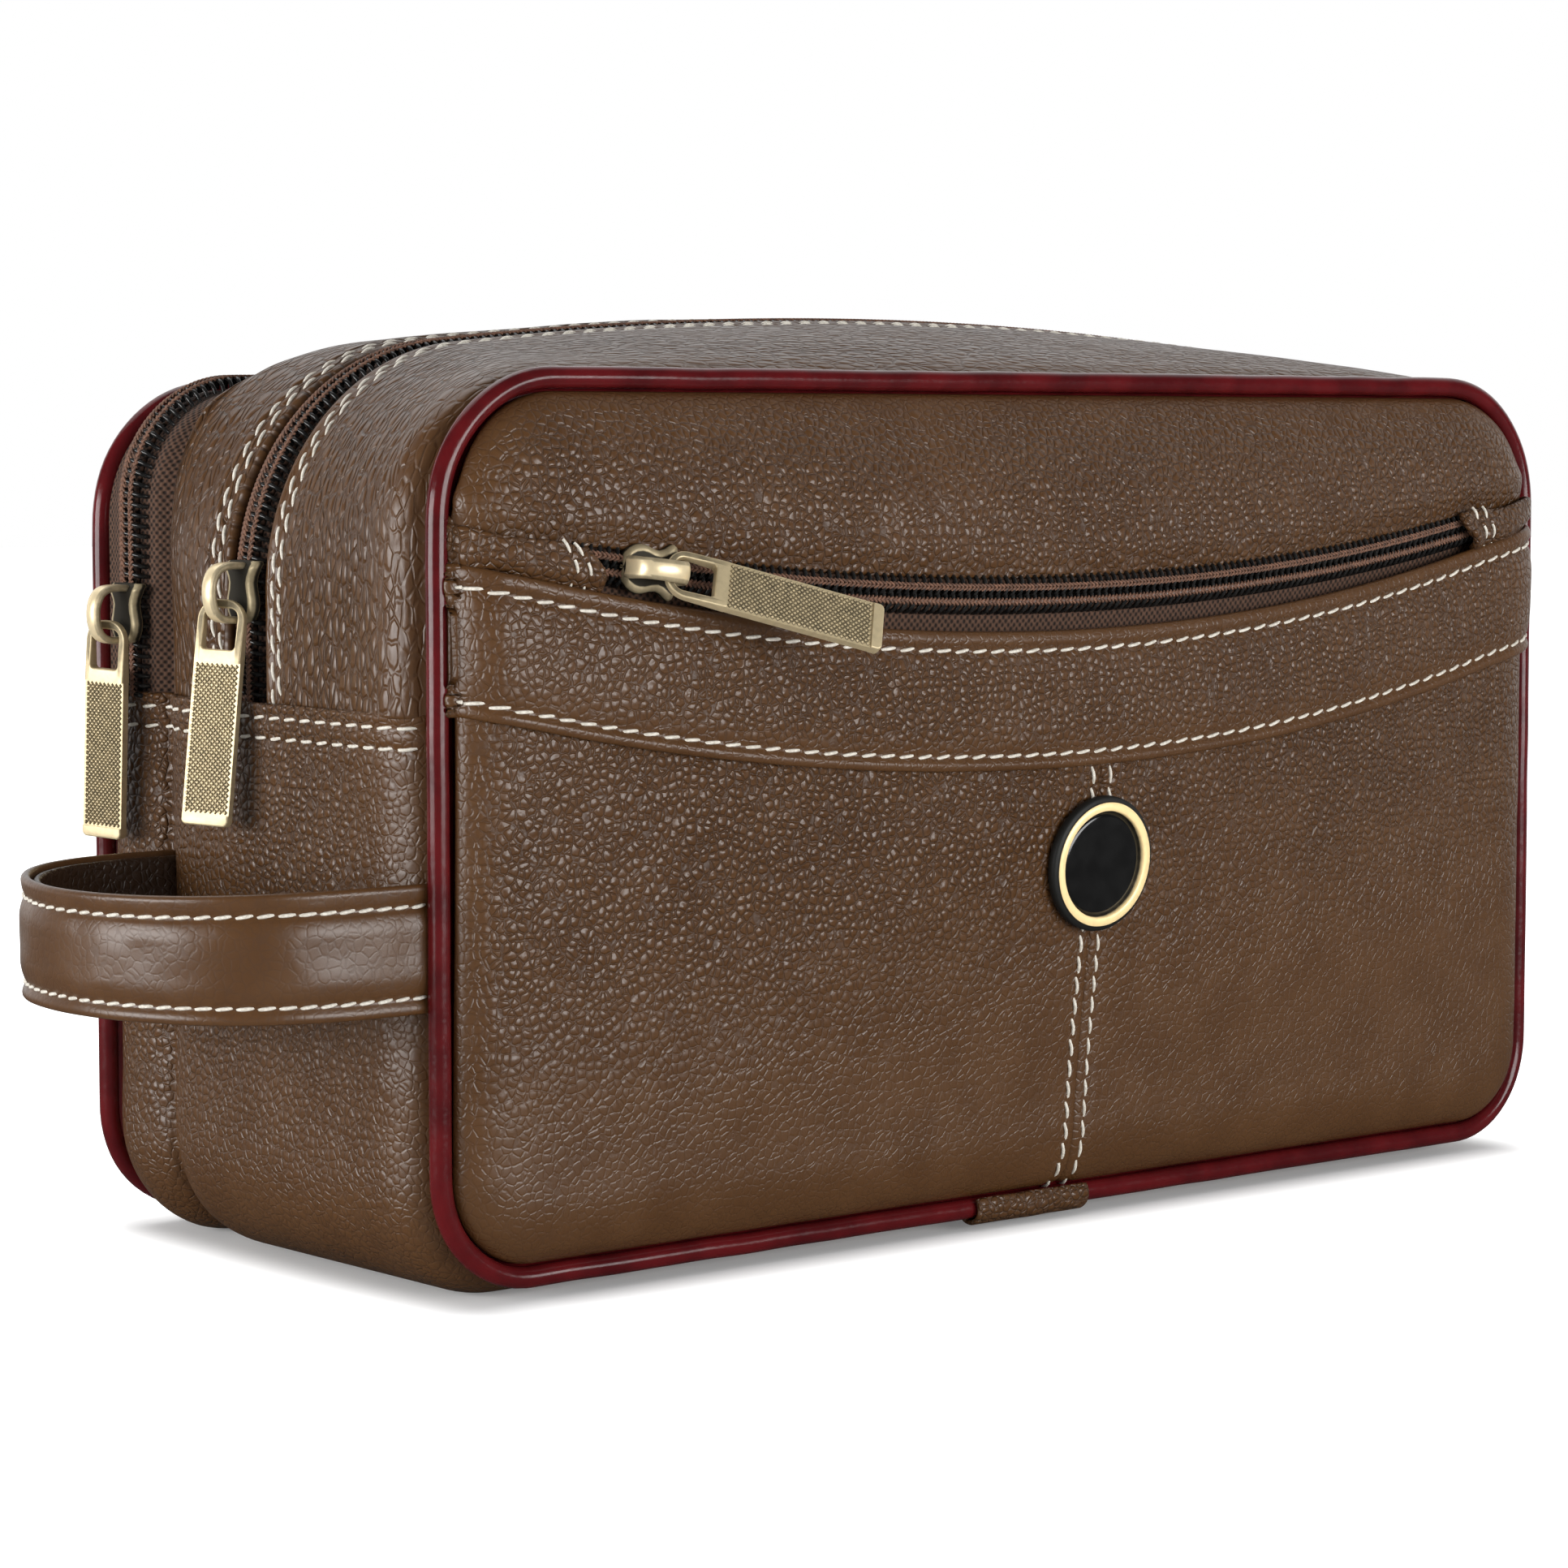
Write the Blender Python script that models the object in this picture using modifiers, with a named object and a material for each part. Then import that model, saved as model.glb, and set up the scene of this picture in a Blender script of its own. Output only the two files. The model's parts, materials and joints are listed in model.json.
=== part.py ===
# Leather shaving kit bag: a zipped main compartment, a slimmer zipped back
# compartment, a front pocket with a curved zip, round piping and a strap handle.
# Metres, +Z up. X runs along the bag with the handle on the -X end, the front
# faces -Y, and the bag stands on z = 0.

import math

import bmesh
import bpy
from mathutils import Matrix, Vector

# Piping loops, measured to the centre of the cord
HALF_LENGTH = 0.126
HALF_DEPTH = 0.048
PIPING_LOW = 0.004
PIPING_TOP = 0.144
BACK_PIPING_TOP = 0.1425
TOP_CORNER = 0.022
LOW_CORNER = 0.017
PIPING_RADIUS = 0.00175

# Sheet goods and clearances
LEATHER = 0.0012
LINING = 0.0006
GAP = 0.0003
SEAM_INSET = 0.0021

# Gusset stations across the bag
FRONT_SEAM_Y = -0.0459
CREASE_Y = 0.0265
BACK_SEAM_Y = 0.0459
ZIP_Y = 0.0007
ZIP_WINDOW = 0.0125
ZIP_FOOT = 0.092

# Front panel crown and the pocket zip's arc
EDGE_CROWN = 0.0032
MID_CROWN = 0.0080
POCKET_RADIUS = 0.560
POCKET_MIDDLE_X = -0.008
POCKET_LEAN = math.radians(30)
POCKET_Z = 0.1087
POCKET_REACH = 0.108
MOUTH_END = 0.0043
MOUTH_GAIN = 0.0024
MOUTH_TOP = 0.0048
WELT_HEIGHT = 0.022
TAPE_DROP = 0.0015

# Zip section: the tape's face is height 0, the chain's middle is across 0
TAPE_THICK = 0.0006
TAPE_INNER = 0.0006
TAPE_OUTER = 0.0105
POCKET_TAPE_TOP = 0.0090
COIL_OUTER = 0.0031
COIL_HEIGHT = 0.0020
COIL_THICK = 0.0013

# Slider: half widths down its length, from the square end to the nose
SLIDER_PROFILE = (
    (0.0042, 0.0049),
    (0.0045, 0.0046),
    (0.0044, 0.0040),
    (0.0039, 0.0016),
    (0.0042, -0.0012),
    (0.0041, -0.0022),
    (0.0034, -0.0036),
    (0.0024, -0.0045),
    (0.0012, -0.0049),
)
SLIDER_TOP = 0.0035
SLIDER_LOW = -0.0025
BRIDGE_HALF = 0.0013
BRIDGE_REACH = 0.0049
BRIDGE_RISE = 0.0060
BRIDGE_WALL = 0.0011

# Pull: a plate of one width, thinner round the bridge
PULL_HANG = -0.0017
PULL_HEIGHT = 0.0062
PULL_LENGTH = 0.0362
PULL_HALF = 0.0042
PULL_THICK = 0.0019
PULL_BAR = 0.0012
PULL_FIELD = -0.0094
PULL_LIP = 0.0018

# How each pull rests, in degrees: its lie on the zip, its lean outward and its roll
MAIN_PULL_POSE = (0.0, 6.0, 28.0)
BACK_PULL_POSE = (-3.0, 0.0, 16.0)
POCKET_PULL_POSE = (171.0, 19.0, 26.0)

# Back zip, badge and handle
BACK_ZIP_Y = 0.0356
MAIN_SLIDER_Z = 0.110
BACK_SLIDER_Z = 0.1055
POCKET_SLIDER_X = -0.0925
COVER_LEFT = -0.0154
COVER_RIGHT = 0.0098
SEAM_X = 0.0042
BADGE_X = 0.0036
BADGE_Z = 0.0627
BADGE_RADIUS = 0.01165
HANDLE_LOW = 0.0475
HANDLE_HIGH = 0.066
HANDLE_ROOT_X = -0.1281
HANDLE_REACH = 0.0395
HANDLE_FRONT_Y = -0.0443
HANDLE_REAR_Y = 0.0250
HANDLE_OUTER = 0.0015

# Linings
LINING_BASE = 0.0056
LINING_TOP = 0.1395
LINING_END = 0.1215
LINING_LOW_CORNER = 0.0155

# Columns of a gusset strip: straight end, corner, half of the top or base
END_COLUMNS = 2
CORNER_COLUMNS = 5
HALF_COLUMNS = 6
COLUMNS = 2 * (END_COLUMNS + CORNER_COLUMNS + HALF_COLUMNS)
END_SHARE = END_COLUMNS / COLUMNS
CORNER_SHARE = (END_COLUMNS + CORNER_COLUMNS) / COLUMNS


def clear_scene():
    for old in list(bpy.data.objects):
        bpy.data.objects.remove(old, do_unlink=True)


def new_collection(name):
    collection = bpy.data.collections.new(name)
    bpy.context.scene.collection.children.link(collection)
    return collection


def new_material(name, colour, roughness, metallic=0.0):
    material = bpy.data.materials.new(name)
    material.use_nodes = True
    shader = material.node_tree.nodes["Principled BSDF"]
    shader.inputs["Base Color"].default_value = (*colour, 1.0)
    shader.inputs["Roughness"].default_value = roughness
    shader.inputs["Metallic"].default_value = metallic
    return material


def lerp(start, end, share):
    return start + (end - start) * share


def smooth(value):
    value = max(0.0, min(1.0, value))
    return value * value * (3.0 - 2.0 * value)


def add_part(name, mesh, material):
    part = bpy.data.objects.new(name, mesh)
    parts.objects.link(part)
    mesh.materials.clear()
    mesh.materials.append(material)
    mesh.shade_smooth()
    mesh.set_sharp_from_angle(angle=math.radians(40))
    return part


def add_cutter(name, low, high, frame=None):
    bm = bmesh.new()
    bmesh.ops.create_cube(bm, size=1.0)
    low, high = Vector(low), Vector(high)
    for vert in bm.verts:
        vert.co = (low + high) / 2 + vert.co * (high - low)
    mesh = bpy.data.meshes.new(name)
    bm.to_mesh(mesh)
    bm.free()
    return keep_cutter(name, mesh, frame)


def keep_cutter(name, mesh, frame=None):
    cutter = bpy.data.objects.new(name, mesh)
    cutters.objects.link(cutter)
    cutter.hide_render = True
    cutter.display_type = "WIRE"
    if frame is not None:
        cutter.matrix_world = frame
    return cutter


def cut(part, cutter, operation="DIFFERENCE"):
    modifier = part.modifiers.new(cutter.name, "BOOLEAN")
    modifier.operation = operation
    modifier.object = cutter
    modifier.solver = "EXACT"


def sheet(name, columns, rows, place, thickness, material):
    # A grid laid on a surface and thickened away from its outer face
    bm = bmesh.new()
    bmesh.ops.create_grid(bm, x_segments=columns, y_segments=rows, size=0.5)
    for vert in bm.verts:
        vert.co = place(vert.co.x + 0.5, vert.co.y + 0.5)
    mesh = bpy.data.meshes.new(name)
    bm.to_mesh(mesh)
    bm.free()
    part = add_part(name, mesh, material)
    shell = part.modifiers.new("Thickness", "SOLIDIFY")
    shell.thickness = thickness
    shell.offset = -1.0
    return part


def flat_outline(name, outlines, half_thickness):
    # A filled outline, with any inner outlines left open, as a welded mesh
    curve = bpy.data.curves.new(name, "CURVE")
    curve.dimensions = "2D"
    curve.fill_mode = "BOTH"
    curve.extrude = half_thickness
    for points in outlines:
        spline = curve.splines.new("POLY")
        spline.points.add(len(points) - 1)
        spline.use_cyclic_u = True
        for slot, point in zip(spline.points, points):
            slot.co = (point[0], point[1], 0.0, 1.0)
    return curve_mesh(name, curve)


def curve_mesh(name, curve):
    holder = bpy.data.objects.new(name + "_curve", curve)
    bpy.context.scene.collection.objects.link(holder)
    graph = bpy.context.evaluated_depsgraph_get()
    mesh = bpy.data.meshes.new_from_object(holder.evaluated_get(graph))
    bpy.data.objects.remove(holder, do_unlink=True)
    bpy.data.curves.remove(curve)
    bm = bmesh.new()
    bm.from_mesh(mesh)
    bmesh.ops.remove_doubles(bm, verts=bm.verts, dist=1e-6)
    bmesh.ops.recalc_face_normals(bm, faces=bm.faces)
    bm.to_mesh(mesh)
    bm.free()
    mesh.name = name
    return mesh


def rounded_loop(half_length, low, top, low_radius, top_radius, steps):
    # Points round an upright oblong with unlike corner radii, in X and Z
    corners = (
        (half_length - top_radius, top - top_radius, top_radius, 0.0),
        (-half_length + top_radius, top - top_radius, top_radius, 90.0),
        (-half_length + low_radius, low + low_radius, low_radius, 180.0),
        (half_length - low_radius, low + low_radius, low_radius, 270.0),
    )
    points = []
    for centre_x, centre_z, radius, start in corners:
        for step in range(steps + 1):
            angle = math.radians(start + 90.0 * step / steps)
            x = centre_x + radius * math.cos(angle)
            z = centre_z + radius * math.sin(angle)
            points.append((x, z))
    return points


def arch_path(end, spring, radius, turn, rise, foot):
    # Up the left end, round the corner, over a crowned top and down the right end
    hub = end - radius
    crown_x = hub + radius * math.cos(turn)
    crown_z = spring + radius * math.sin(turn)

    def station(share):
        side = -1.0 if share < 0.5 else 1.0
        part = min(share, 1.0 - share)
        if part < END_SHARE:
            z = lerp(foot, spring, part / END_SHARE)
            return Vector((side * end, 0, z)), Vector((side, 0, 0))
        if part < CORNER_SHARE:
            angle = turn * (part - END_SHARE) / (CORNER_SHARE - END_SHARE)
            normal = Vector((side * math.cos(angle), 0, math.sin(angle)))
            return Vector((side * hub, 0, spring)) + radius * normal, normal
        reach = (0.5 - part) / (0.5 - CORNER_SHARE)
        slope = 2.0 * rise * reach / crown_x
        z = crown_z + rise * (1.0 - reach * reach)
        return Vector((side * crown_x * reach, 0, z)), Vector((side * slope, 0, 1)).normalized()

    return station


def cradle_path(end, base, radius, head=ZIP_FOOT):
    # Down the left end, along the base and up the right end
    hub = end - radius

    def station(share):
        side = -1.0 if share < 0.5 else 1.0
        part = min(share, 1.0 - share)
        if part < END_SHARE:
            return Vector((side * end, 0, lerp(head, base + radius, part / END_SHARE)))
        if part < CORNER_SHARE:
            angle = math.pi / 2 * (part - END_SHARE) / (CORNER_SHARE - END_SHARE)
            x = hub + radius * math.cos(angle)
            return Vector((side * x, 0, base + radius - radius * math.sin(angle)))
        reach = (0.5 - part) / (0.5 - CORNER_SHARE)
        return Vector((side * hub * reach, 0, base))

    return station


STRIP_FOOT = ZIP_FOOT + GAP
MAIN_TURN = math.radians(84)
MAIN_SPRING = MAIN_SLIDER_Z
MAIN_RADIUS = 0.040
MAIN_END = 0.128
MAIN_RISE = 0.0048
BACK_END = 0.1266
BACK_SPRING = 0.1236
BACK_RADIUS = 0.019
BACK_TURN = math.radians(89)
BACK_RISE = 0.0006

seam_arch = arch_path(HALF_LENGTH, PIPING_TOP - TOP_CORNER, TOP_CORNER, math.pi / 2, 0.0, STRIP_FOOT)
back_seam_arch = arch_path(HALF_LENGTH, BACK_PIPING_TOP - TOP_CORNER, TOP_CORNER, math.pi / 2, 0.0, STRIP_FOOT)
main_arch = arch_path(MAIN_END, MAIN_SPRING, MAIN_RADIUS, MAIN_TURN, MAIN_RISE, STRIP_FOOT)
tape_arch = arch_path(MAIN_END, MAIN_SPRING, MAIN_RADIUS, MAIN_TURN, MAIN_RISE, ZIP_FOOT - 0.008)
crease_arch = arch_path(0.1255, 0.1225, 0.024, math.radians(87), 0.0027, STRIP_FOOT)
back_arch = arch_path(BACK_END, BACK_SPRING, BACK_RADIUS, BACK_TURN, BACK_RISE, STRIP_FOOT)
seam_cradle = cradle_path(HALF_LENGTH, PIPING_LOW, LOW_CORNER)
main_cradle = cradle_path(0.1295, 0.0, 0.0195)
crease_cradle = cradle_path(0.1255, 0.0035, LOW_CORNER)
back_cradle = cradle_path(0.128, 0.0, 0.0185)


def add_piping(name, y, top):
    outline = rounded_loop(HALF_LENGTH, PIPING_LOW, top, LOW_CORNER, TOP_CORNER, 7)
    curve = bpy.data.curves.new(name, "CURVE")
    curve.dimensions = "3D"
    curve.bevel_depth = PIPING_RADIUS
    curve.bevel_resolution = 2
    spline = curve.splines.new("POLY")
    spline.points.add(len(outline) - 1)
    spline.use_cyclic_u = True
    for slot, (x, z) in zip(spline.points, outline):
        slot.co = (x, y, z, 1.0)
    add_part(name, curve_mesh(name, curve), vinyl)


def add_joint_cover(name, side):
    # Short leather wrap over the outer part of the piping, where its ends meet
    def place(u, v):
        angle = math.radians(lerp(125, -35, v) if side < 0 else lerp(-35, 125, v))
        radius = PIPING_RADIUS + GAP + 0.0009
        y = side * (HALF_DEPTH + radius * math.cos(angle))
        return Vector((lerp(COVER_LEFT, COVER_RIGHT, u), y, PIPING_LOW - radius * math.sin(angle)))

    sheet(name, 2, 6, place, 0.0009, leather)


def zip_point(x):
    # Height of the pocket zip at a place along the bag
    along = x - POCKET_MIDDLE_X
    drop = POCKET_RADIUS - math.sqrt(POCKET_RADIUS ** 2 - along * along)
    return POCKET_Z + drop * math.cos(POCKET_LEAN)


def edge_distance(x, z, piping_top=PIPING_TOP):
    # Distance in from the panel's own outline, which runs beside the piping
    half = HALF_LENGTH - SEAM_INSET
    low = PIPING_LOW + SEAM_INSET
    top = piping_top - SEAM_INSET
    radius = (TOP_CORNER if z > (low + top) / 2 else LOW_CORNER) - SEAM_INSET
    across = abs(x) - (half - radius)
    upright = abs(z - (low + top) / 2) - ((top - low) / 2 - radius)
    outside = math.hypot(max(across, 0.0), max(upright, 0.0))
    return radius - outside - min(max(across, upright), 0.0)


def front_face(x, z, lift=0.0):
    # Outer face of the front, lifted square to it for what is sewn on top
    step = 0.0005
    along = bare_front(x + step, z) - bare_front(x - step, z)
    up = bare_front(x, z + step) - bare_front(x, z - step)
    return bare_front(x, z) + along.cross(up).normalized() * lift


def bare_front(x, z):
    # A rolled edge at the piping and a crown about the zip
    zip_z = zip_point(x)
    if z < zip_z:
        share = (z - PIPING_LOW) / (zip_z - PIPING_LOW) / 0.78
    else:
        share = (PIPING_TOP - z) / (PIPING_TOP - zip_z) / 0.68
    roll = 1.0 - max(0.0, 1.0 - max(0.0, edge_distance(x, z)) / 0.006) ** 2
    along = (x - POCKET_MIDDLE_X) / (HALF_LENGTH - POCKET_MIDDLE_X)
    crown = MID_CROWN * (1.0 - along ** 2) * smooth(share)
    return Vector((x, -HALF_DEPTH - EDGE_CROWN * roll - crown, z))


def outline_low(x):
    radius = LOW_CORNER - SEAM_INSET
    past = max(0.0, abs(x) - (HALF_LENGTH - LOW_CORNER))
    return PIPING_LOW + LOW_CORNER - math.sqrt(max(0.0, radius * radius - past * past))


def outline_top(x, piping_top=PIPING_TOP):
    radius = TOP_CORNER - SEAM_INSET
    past = max(0.0, abs(x) - (HALF_LENGTH - TOP_CORNER))
    return piping_top - TOP_CORNER + math.sqrt(max(0.0, radius * radius - past * past))


def welt_top(x):
    # The zip's mouth is widest in the middle and closes in towards its ends
    reach = (x - POCKET_MIDDLE_X) / (HALF_LENGTH - 0.011)
    return zip_point(x) - MOUTH_END - MOUTH_GAIN * max(0.0, 1.0 - reach ** 2)


def add_front_panels():
    edge = HALF_LENGTH - SEAM_INSET

    def upper(u, v):
        x = 0.1225 * math.sin(math.pi / 2 * (2 * u - 1))
        low = zip_point(x) + MOUTH_TOP
        return front_face(x, lerp(low, outline_top(x), math.sin(math.pi / 2 * v)))

    def lower(x, v):
        high = welt_top(x) - 0.0075
        return front_face(x, lerp(outline_low(x), high, 1 - math.cos(math.pi / 2 * v)))

    def left(u, v):
        return lower(lerp(-edge, SEAM_X - GAP / 2, 1 - math.cos(math.pi / 2 * u)), v)

    def right(u, v):
        return lower(lerp(SEAM_X + GAP / 2, edge, math.sin(math.pi / 2 * u)), v)

    def welt(u, v):
        x = 0.1218 * math.sin(math.pi / 2 * (2 * u - 1))
        return front_face(x, welt_top(x) - WELT_HEIGHT * (1 - v), LEATHER + GAP)

    sheet("front_upper_panel", 22, 6, upper, LEATHER, leather)
    left_panel = sheet("front_lower_panel_left", 12, 9, left, LEATHER, leather)
    right_panel = sheet("front_lower_panel_right", 12, 9, right, LEATHER, leather)
    sheet("pocket_welt_band", 24, 3, welt, LEATHER, leather)
    return left_panel, right_panel


def add_zip_tab(name, inner_x, outer_x):
    # Leather tab over one end of the pocket zip
    def place(u, v):
        x = lerp(min(inner_x, outer_x), max(inner_x, outer_x), u)
        low = welt_top(x) + GAP
        return front_face(x, lerp(low, zip_point(x) + MOUTH_TOP - GAP, v), LEATHER + 0.0009)

    sheet(name, 4, 3, place, LEATHER, leather)


def add_back_panel():
    edge = HALF_LENGTH - SEAM_INSET

    def place(u, v):
        x = -edge * math.sin(math.pi / 2 * (2 * u - 1))
        z = lerp(outline_low(x), outline_top(x, BACK_PIPING_TOP), 0.5 - 0.5 * math.cos(math.pi * v))
        roll = 1.0 - max(0.0, 1.0 - max(0.0, edge_distance(x, z, BACK_PIPING_TOP)) / 0.006) ** 2
        middle = (z - (PIPING_LOW + BACK_PIPING_TOP) / 2) / (BACK_PIPING_TOP - PIPING_LOW) * 2
        crown = 0.0035 * (1.0 - (x / HALF_LENGTH) ** 2) * (1.0 - middle ** 2)
        return Vector((x, HALF_DEPTH + 0.0028 * roll + crown, z))

    sheet("back_panel", 16, 12, place, LEATHER, leather)


def add_gusset():
    window_front = ZIP_Y - ZIP_WINDOW / 2
    window_rear = ZIP_Y + ZIP_WINDOW / 2

    def puff(share):
        # Fades out where a strip meets the lower gusset
        return smooth(min(share, 1.0 - share) / END_SHARE)

    def front_strip(u, v):
        share = v ** 1.5
        seam, outward = seam_arch(u)
        edge, _ = main_arch(u)
        point = seam.lerp(edge, 1.0 - (1.0 - share) ** 1.8)
        point += outward * 0.0009 * puff(u) * (1.0 - (2.0 * share - 1.0) ** 4)
        point.y = lerp(FRONT_SEAM_Y, window_front, share)
        return point

    def rear_strip(u, v):
        share = 1.0 - (1.0 - v) ** 1.5
        edge, outward = main_arch(u)
        crease, _ = crease_arch(u)
        point = edge.lerp(crease, 1.0 - math.sqrt(max(0.0, 1.0 - share ** 2.5)))
        point += outward * 0.0008 * puff(u) * (1.0 - (2.0 * share - 1.0) ** 4)
        point.y = lerp(window_rear, CREASE_Y, share)
        return point

    def cradle(u, v, rear_y, front_y, rear_edge, middle, front_edge, power, gain):
        # Rolled at both seams and flat in between, from the rear seam to the front
        share = 0.5 - 0.5 * math.cos(math.pi * v)
        full = min(1.0, gain * (1.0 - abs(2.0 * share - 1.0) ** power))
        point = rear_edge(u).lerp(front_edge(u), share).lerp(middle(u), full)
        point.y = lerp(rear_y, front_y, share)
        return point

    def main_lower(u, v):
        return cradle(u, v, CREASE_Y, FRONT_SEAM_Y, crease_cradle, main_cradle, seam_cradle, 6, 1.08)

    def back_lower(u, v):
        return cradle(u, v, BACK_SEAM_Y, CREASE_Y + 0.0007, seam_cradle, back_cradle, crease_cradle, 4, 1.15)

    sheet("top_strip_front", COLUMNS, 6, front_strip, LEATHER, leather)
    sheet("top_strip_rear", COLUMNS, 5, rear_strip, LEATHER, leather)
    sheet("main_gusset_lower", COLUMNS, 8, main_lower, LEATHER, leather)
    sheet("back_gusset_lower", COLUMNS, 6, back_lower, LEATHER, leather)


def add_zip(name, sides, columns, rows, tape_place, coil_place, reaches):
    # Two tapes, each with its coil along the inner edge
    for side, word, reach in zip((-1.0, 1.0), sides, reaches):
        def tape(u, v):
            inner, outer = sorted((side * TAPE_INNER, side * reach))
            return tape_place(u, lerp(inner, outer, v), 0.0)

        def coil(u, v):
            inner, outer = sorted((side * TAPE_INNER, side * COIL_OUTER))
            height = COIL_HEIGHT - 0.0004 * (2 * v - 1) ** 2
            return coil_place(u, lerp(inner, outer, v), height)

        sheet(f"{name}_tape_{word}", columns, rows, tape, TAPE_THICK, tape_cloth)
        sheet(f"{name}_coil_{word}", columns, 2, coil, COIL_THICK, nylon)


def add_zips():
    def along_arch(arch, y, drop):
        def place(u, across, height):
            point, outward = arch(u)
            return point + outward * (height - drop) + Vector((0, y + across, 0))

        return place

    main_tape = along_arch(tape_arch, ZIP_Y, TAPE_DROP)
    main_coil = along_arch(main_arch, ZIP_Y, TAPE_DROP)
    add_zip("main_zip", ("front", "rear"), COLUMNS, 1, main_tape, main_coil, (TAPE_OUTER, TAPE_OUTER))
    back_coil = along_arch(back_arch, BACK_ZIP_Y, 0.0)
    reaches = (BACK_ZIP_Y - CREASE_Y - 0.0008, BACK_SEAM_Y - BACK_ZIP_Y)

    def back_tape(u, across, height):
        # Flat under the slider, then up to the crease or down to the back seam
        edge, outward = crease_arch(u)
        edge -= outward * (LEATHER + GAP)
        reach = reaches[0]
        if across > 0:
            edge, _ = back_seam_arch(u)
            reach = reaches[1]
        share = smooth((abs(across) - 0.0047) / (reach - 0.0047))
        tape = back_coil(u, across, height)
        return tape.lerp(Vector((edge.x, tape.y, edge.z)), share)

    add_zip("back_zip", ("front", "rear"), COLUMNS, 4, back_tape, back_coil, reaches)

    def pocket(u, across, height):
        return pocket_turn(lerp(-POCKET_REACH, POCKET_REACH, u)) @ pocket_section(across, height)

    add_zip("pocket_zip", ("lower", "upper"), 14, 1, pocket, pocket, (TAPE_OUTER, POCKET_TAPE_TOP))


def pocket_hub():
    # The pocket zip is an arc of a circle that leans back with the crowned front
    middle = pocket_section(0.0, 0.0)
    inward = Vector((0, math.sin(POCKET_LEAN), math.cos(POCKET_LEAN)))
    return middle + POCKET_RADIUS * inward


def pocket_section(across, height):
    face = -HALF_DEPTH - EDGE_CROWN - MID_CROWN + TAPE_DROP
    return Vector((POCKET_MIDDLE_X, face - height, POCKET_Z + across))


def pocket_axis():
    return Vector((0, -math.cos(POCKET_LEAN), math.sin(POCKET_LEAN)))


def pocket_turn(x):
    # Carries the section at the arc's middle round to a place along the bag
    angle = math.asin((x - POCKET_MIDDLE_X) / POCKET_RADIUS)
    shift = Matrix.Translation(pocket_hub())
    return shift @ Matrix.Rotation(angle, 4, pocket_axis()) @ shift.inverted()


def frame_of(place, travel, outward):
    # Across is local X, the way the slider travels is local Y, outward is local Z
    across = travel.cross(outward)
    turn = Matrix((across, travel, outward)).transposed().to_4x4()
    return Matrix.Translation(place) @ turn


def slider_body(name, frame):
    outline = list(SLIDER_PROFILE) + [(-half, along) for half, along in reversed(SLIDER_PROFILE)]
    mesh = flat_outline(name, [outline], (SLIDER_TOP - SLIDER_LOW) / 2)
    part = add_part(name, mesh, antique_brass)
    part.matrix_world = frame @ Matrix.Translation((0, 0, (SLIDER_TOP + SLIDER_LOW) / 2))
    round_over = part.modifiers.new("Rounded edges", "BEVEL")
    round_over.width = 0.0006
    round_over.segments = 2
    round_over.limit_method = "ANGLE"
    round_over.angle_limit = math.radians(60)
    far_end = 0.008
    tunnel = (0.0003, 0.0034, -0.0015, 0.0025)
    slit = (0.0030, 0.0100, -0.0015, 0.0004)
    for word, (near, far, low, high) in (("tunnel", tunnel), ("slit", slit)):
        cut(part, add_cutter(f"{name}_{word}_right", (near, -far_end, low), (far, far_end, high), frame))
        cut(part, add_cutter(f"{name}_{word}_left", (-far, -far_end, low), (-near, far_end, high), frame))
    cut(part, add_cutter(f"{name}_throat", (-0.002, -0.0005, -0.0015), (0.002, far_end, 0.0025), frame))
    cut(part, add_cutter(f"{name}_mouth", (-0.002, -far_end, -0.0015), (0.002, -0.0040, 0.0025), frame))
    return part


def slider_bridge(name, frame):
    # An arch over the slider that the pull's ring hangs in
    steps = 12
    arch = []
    for reach, rise in ((BRIDGE_REACH, BRIDGE_RISE), (BRIDGE_REACH - BRIDGE_WALL, BRIDGE_RISE - BRIDGE_WALL)):
        row = []
        for step in range(steps + 1):
            angle = math.pi * step / steps
            row.append((reach * math.cos(angle), rise * math.sqrt(max(0.0, math.sin(angle)))))
        arch.append(row)
    mesh = flat_outline(name, [arch[0] + arch[1][::-1]], BRIDGE_HALF)
    part = add_part(name, mesh, bright_brass)
    upright = Matrix.Rotation(math.pi / 2, 4, "Z") @ Matrix.Rotation(math.pi / 2, 4, "X")
    part.matrix_world = frame @ Matrix.Translation((0, 0, SLIDER_TOP + GAP)) @ upright
    return part


def rounded_plate(half, top, low, top_radius, low_radius, steps=4):
    # A plate outline with rounded corners
    corners = (
        (half - top_radius, top - top_radius, top_radius, 0.0),
        (top_radius - half, top - top_radius, top_radius, 90.0),
        (low_radius - half, low + low_radius, low_radius, 180.0),
        (half - low_radius, low + low_radius, low_radius, 270.0),
    )
    points = []
    for x, y, radius, start in corners:
        for step in range(steps + 1):
            angle = math.radians(start + 90.0 * step / steps)
            points.append((x + radius * math.cos(angle), y + radius * math.sin(angle)))
    return points


def pull_hang(frame, pose):
    lie, lean, _ = pose
    root = PULL_HANG if abs(lie) < 90 else -PULL_HANG
    hang = Matrix.Translation((0, root, PULL_HEIGHT)) @ Matrix.Rotation(math.radians(lie), 4, "Z")
    return frame @ hang @ Matrix.Rotation(math.radians(-lean), 4, "X")


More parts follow.
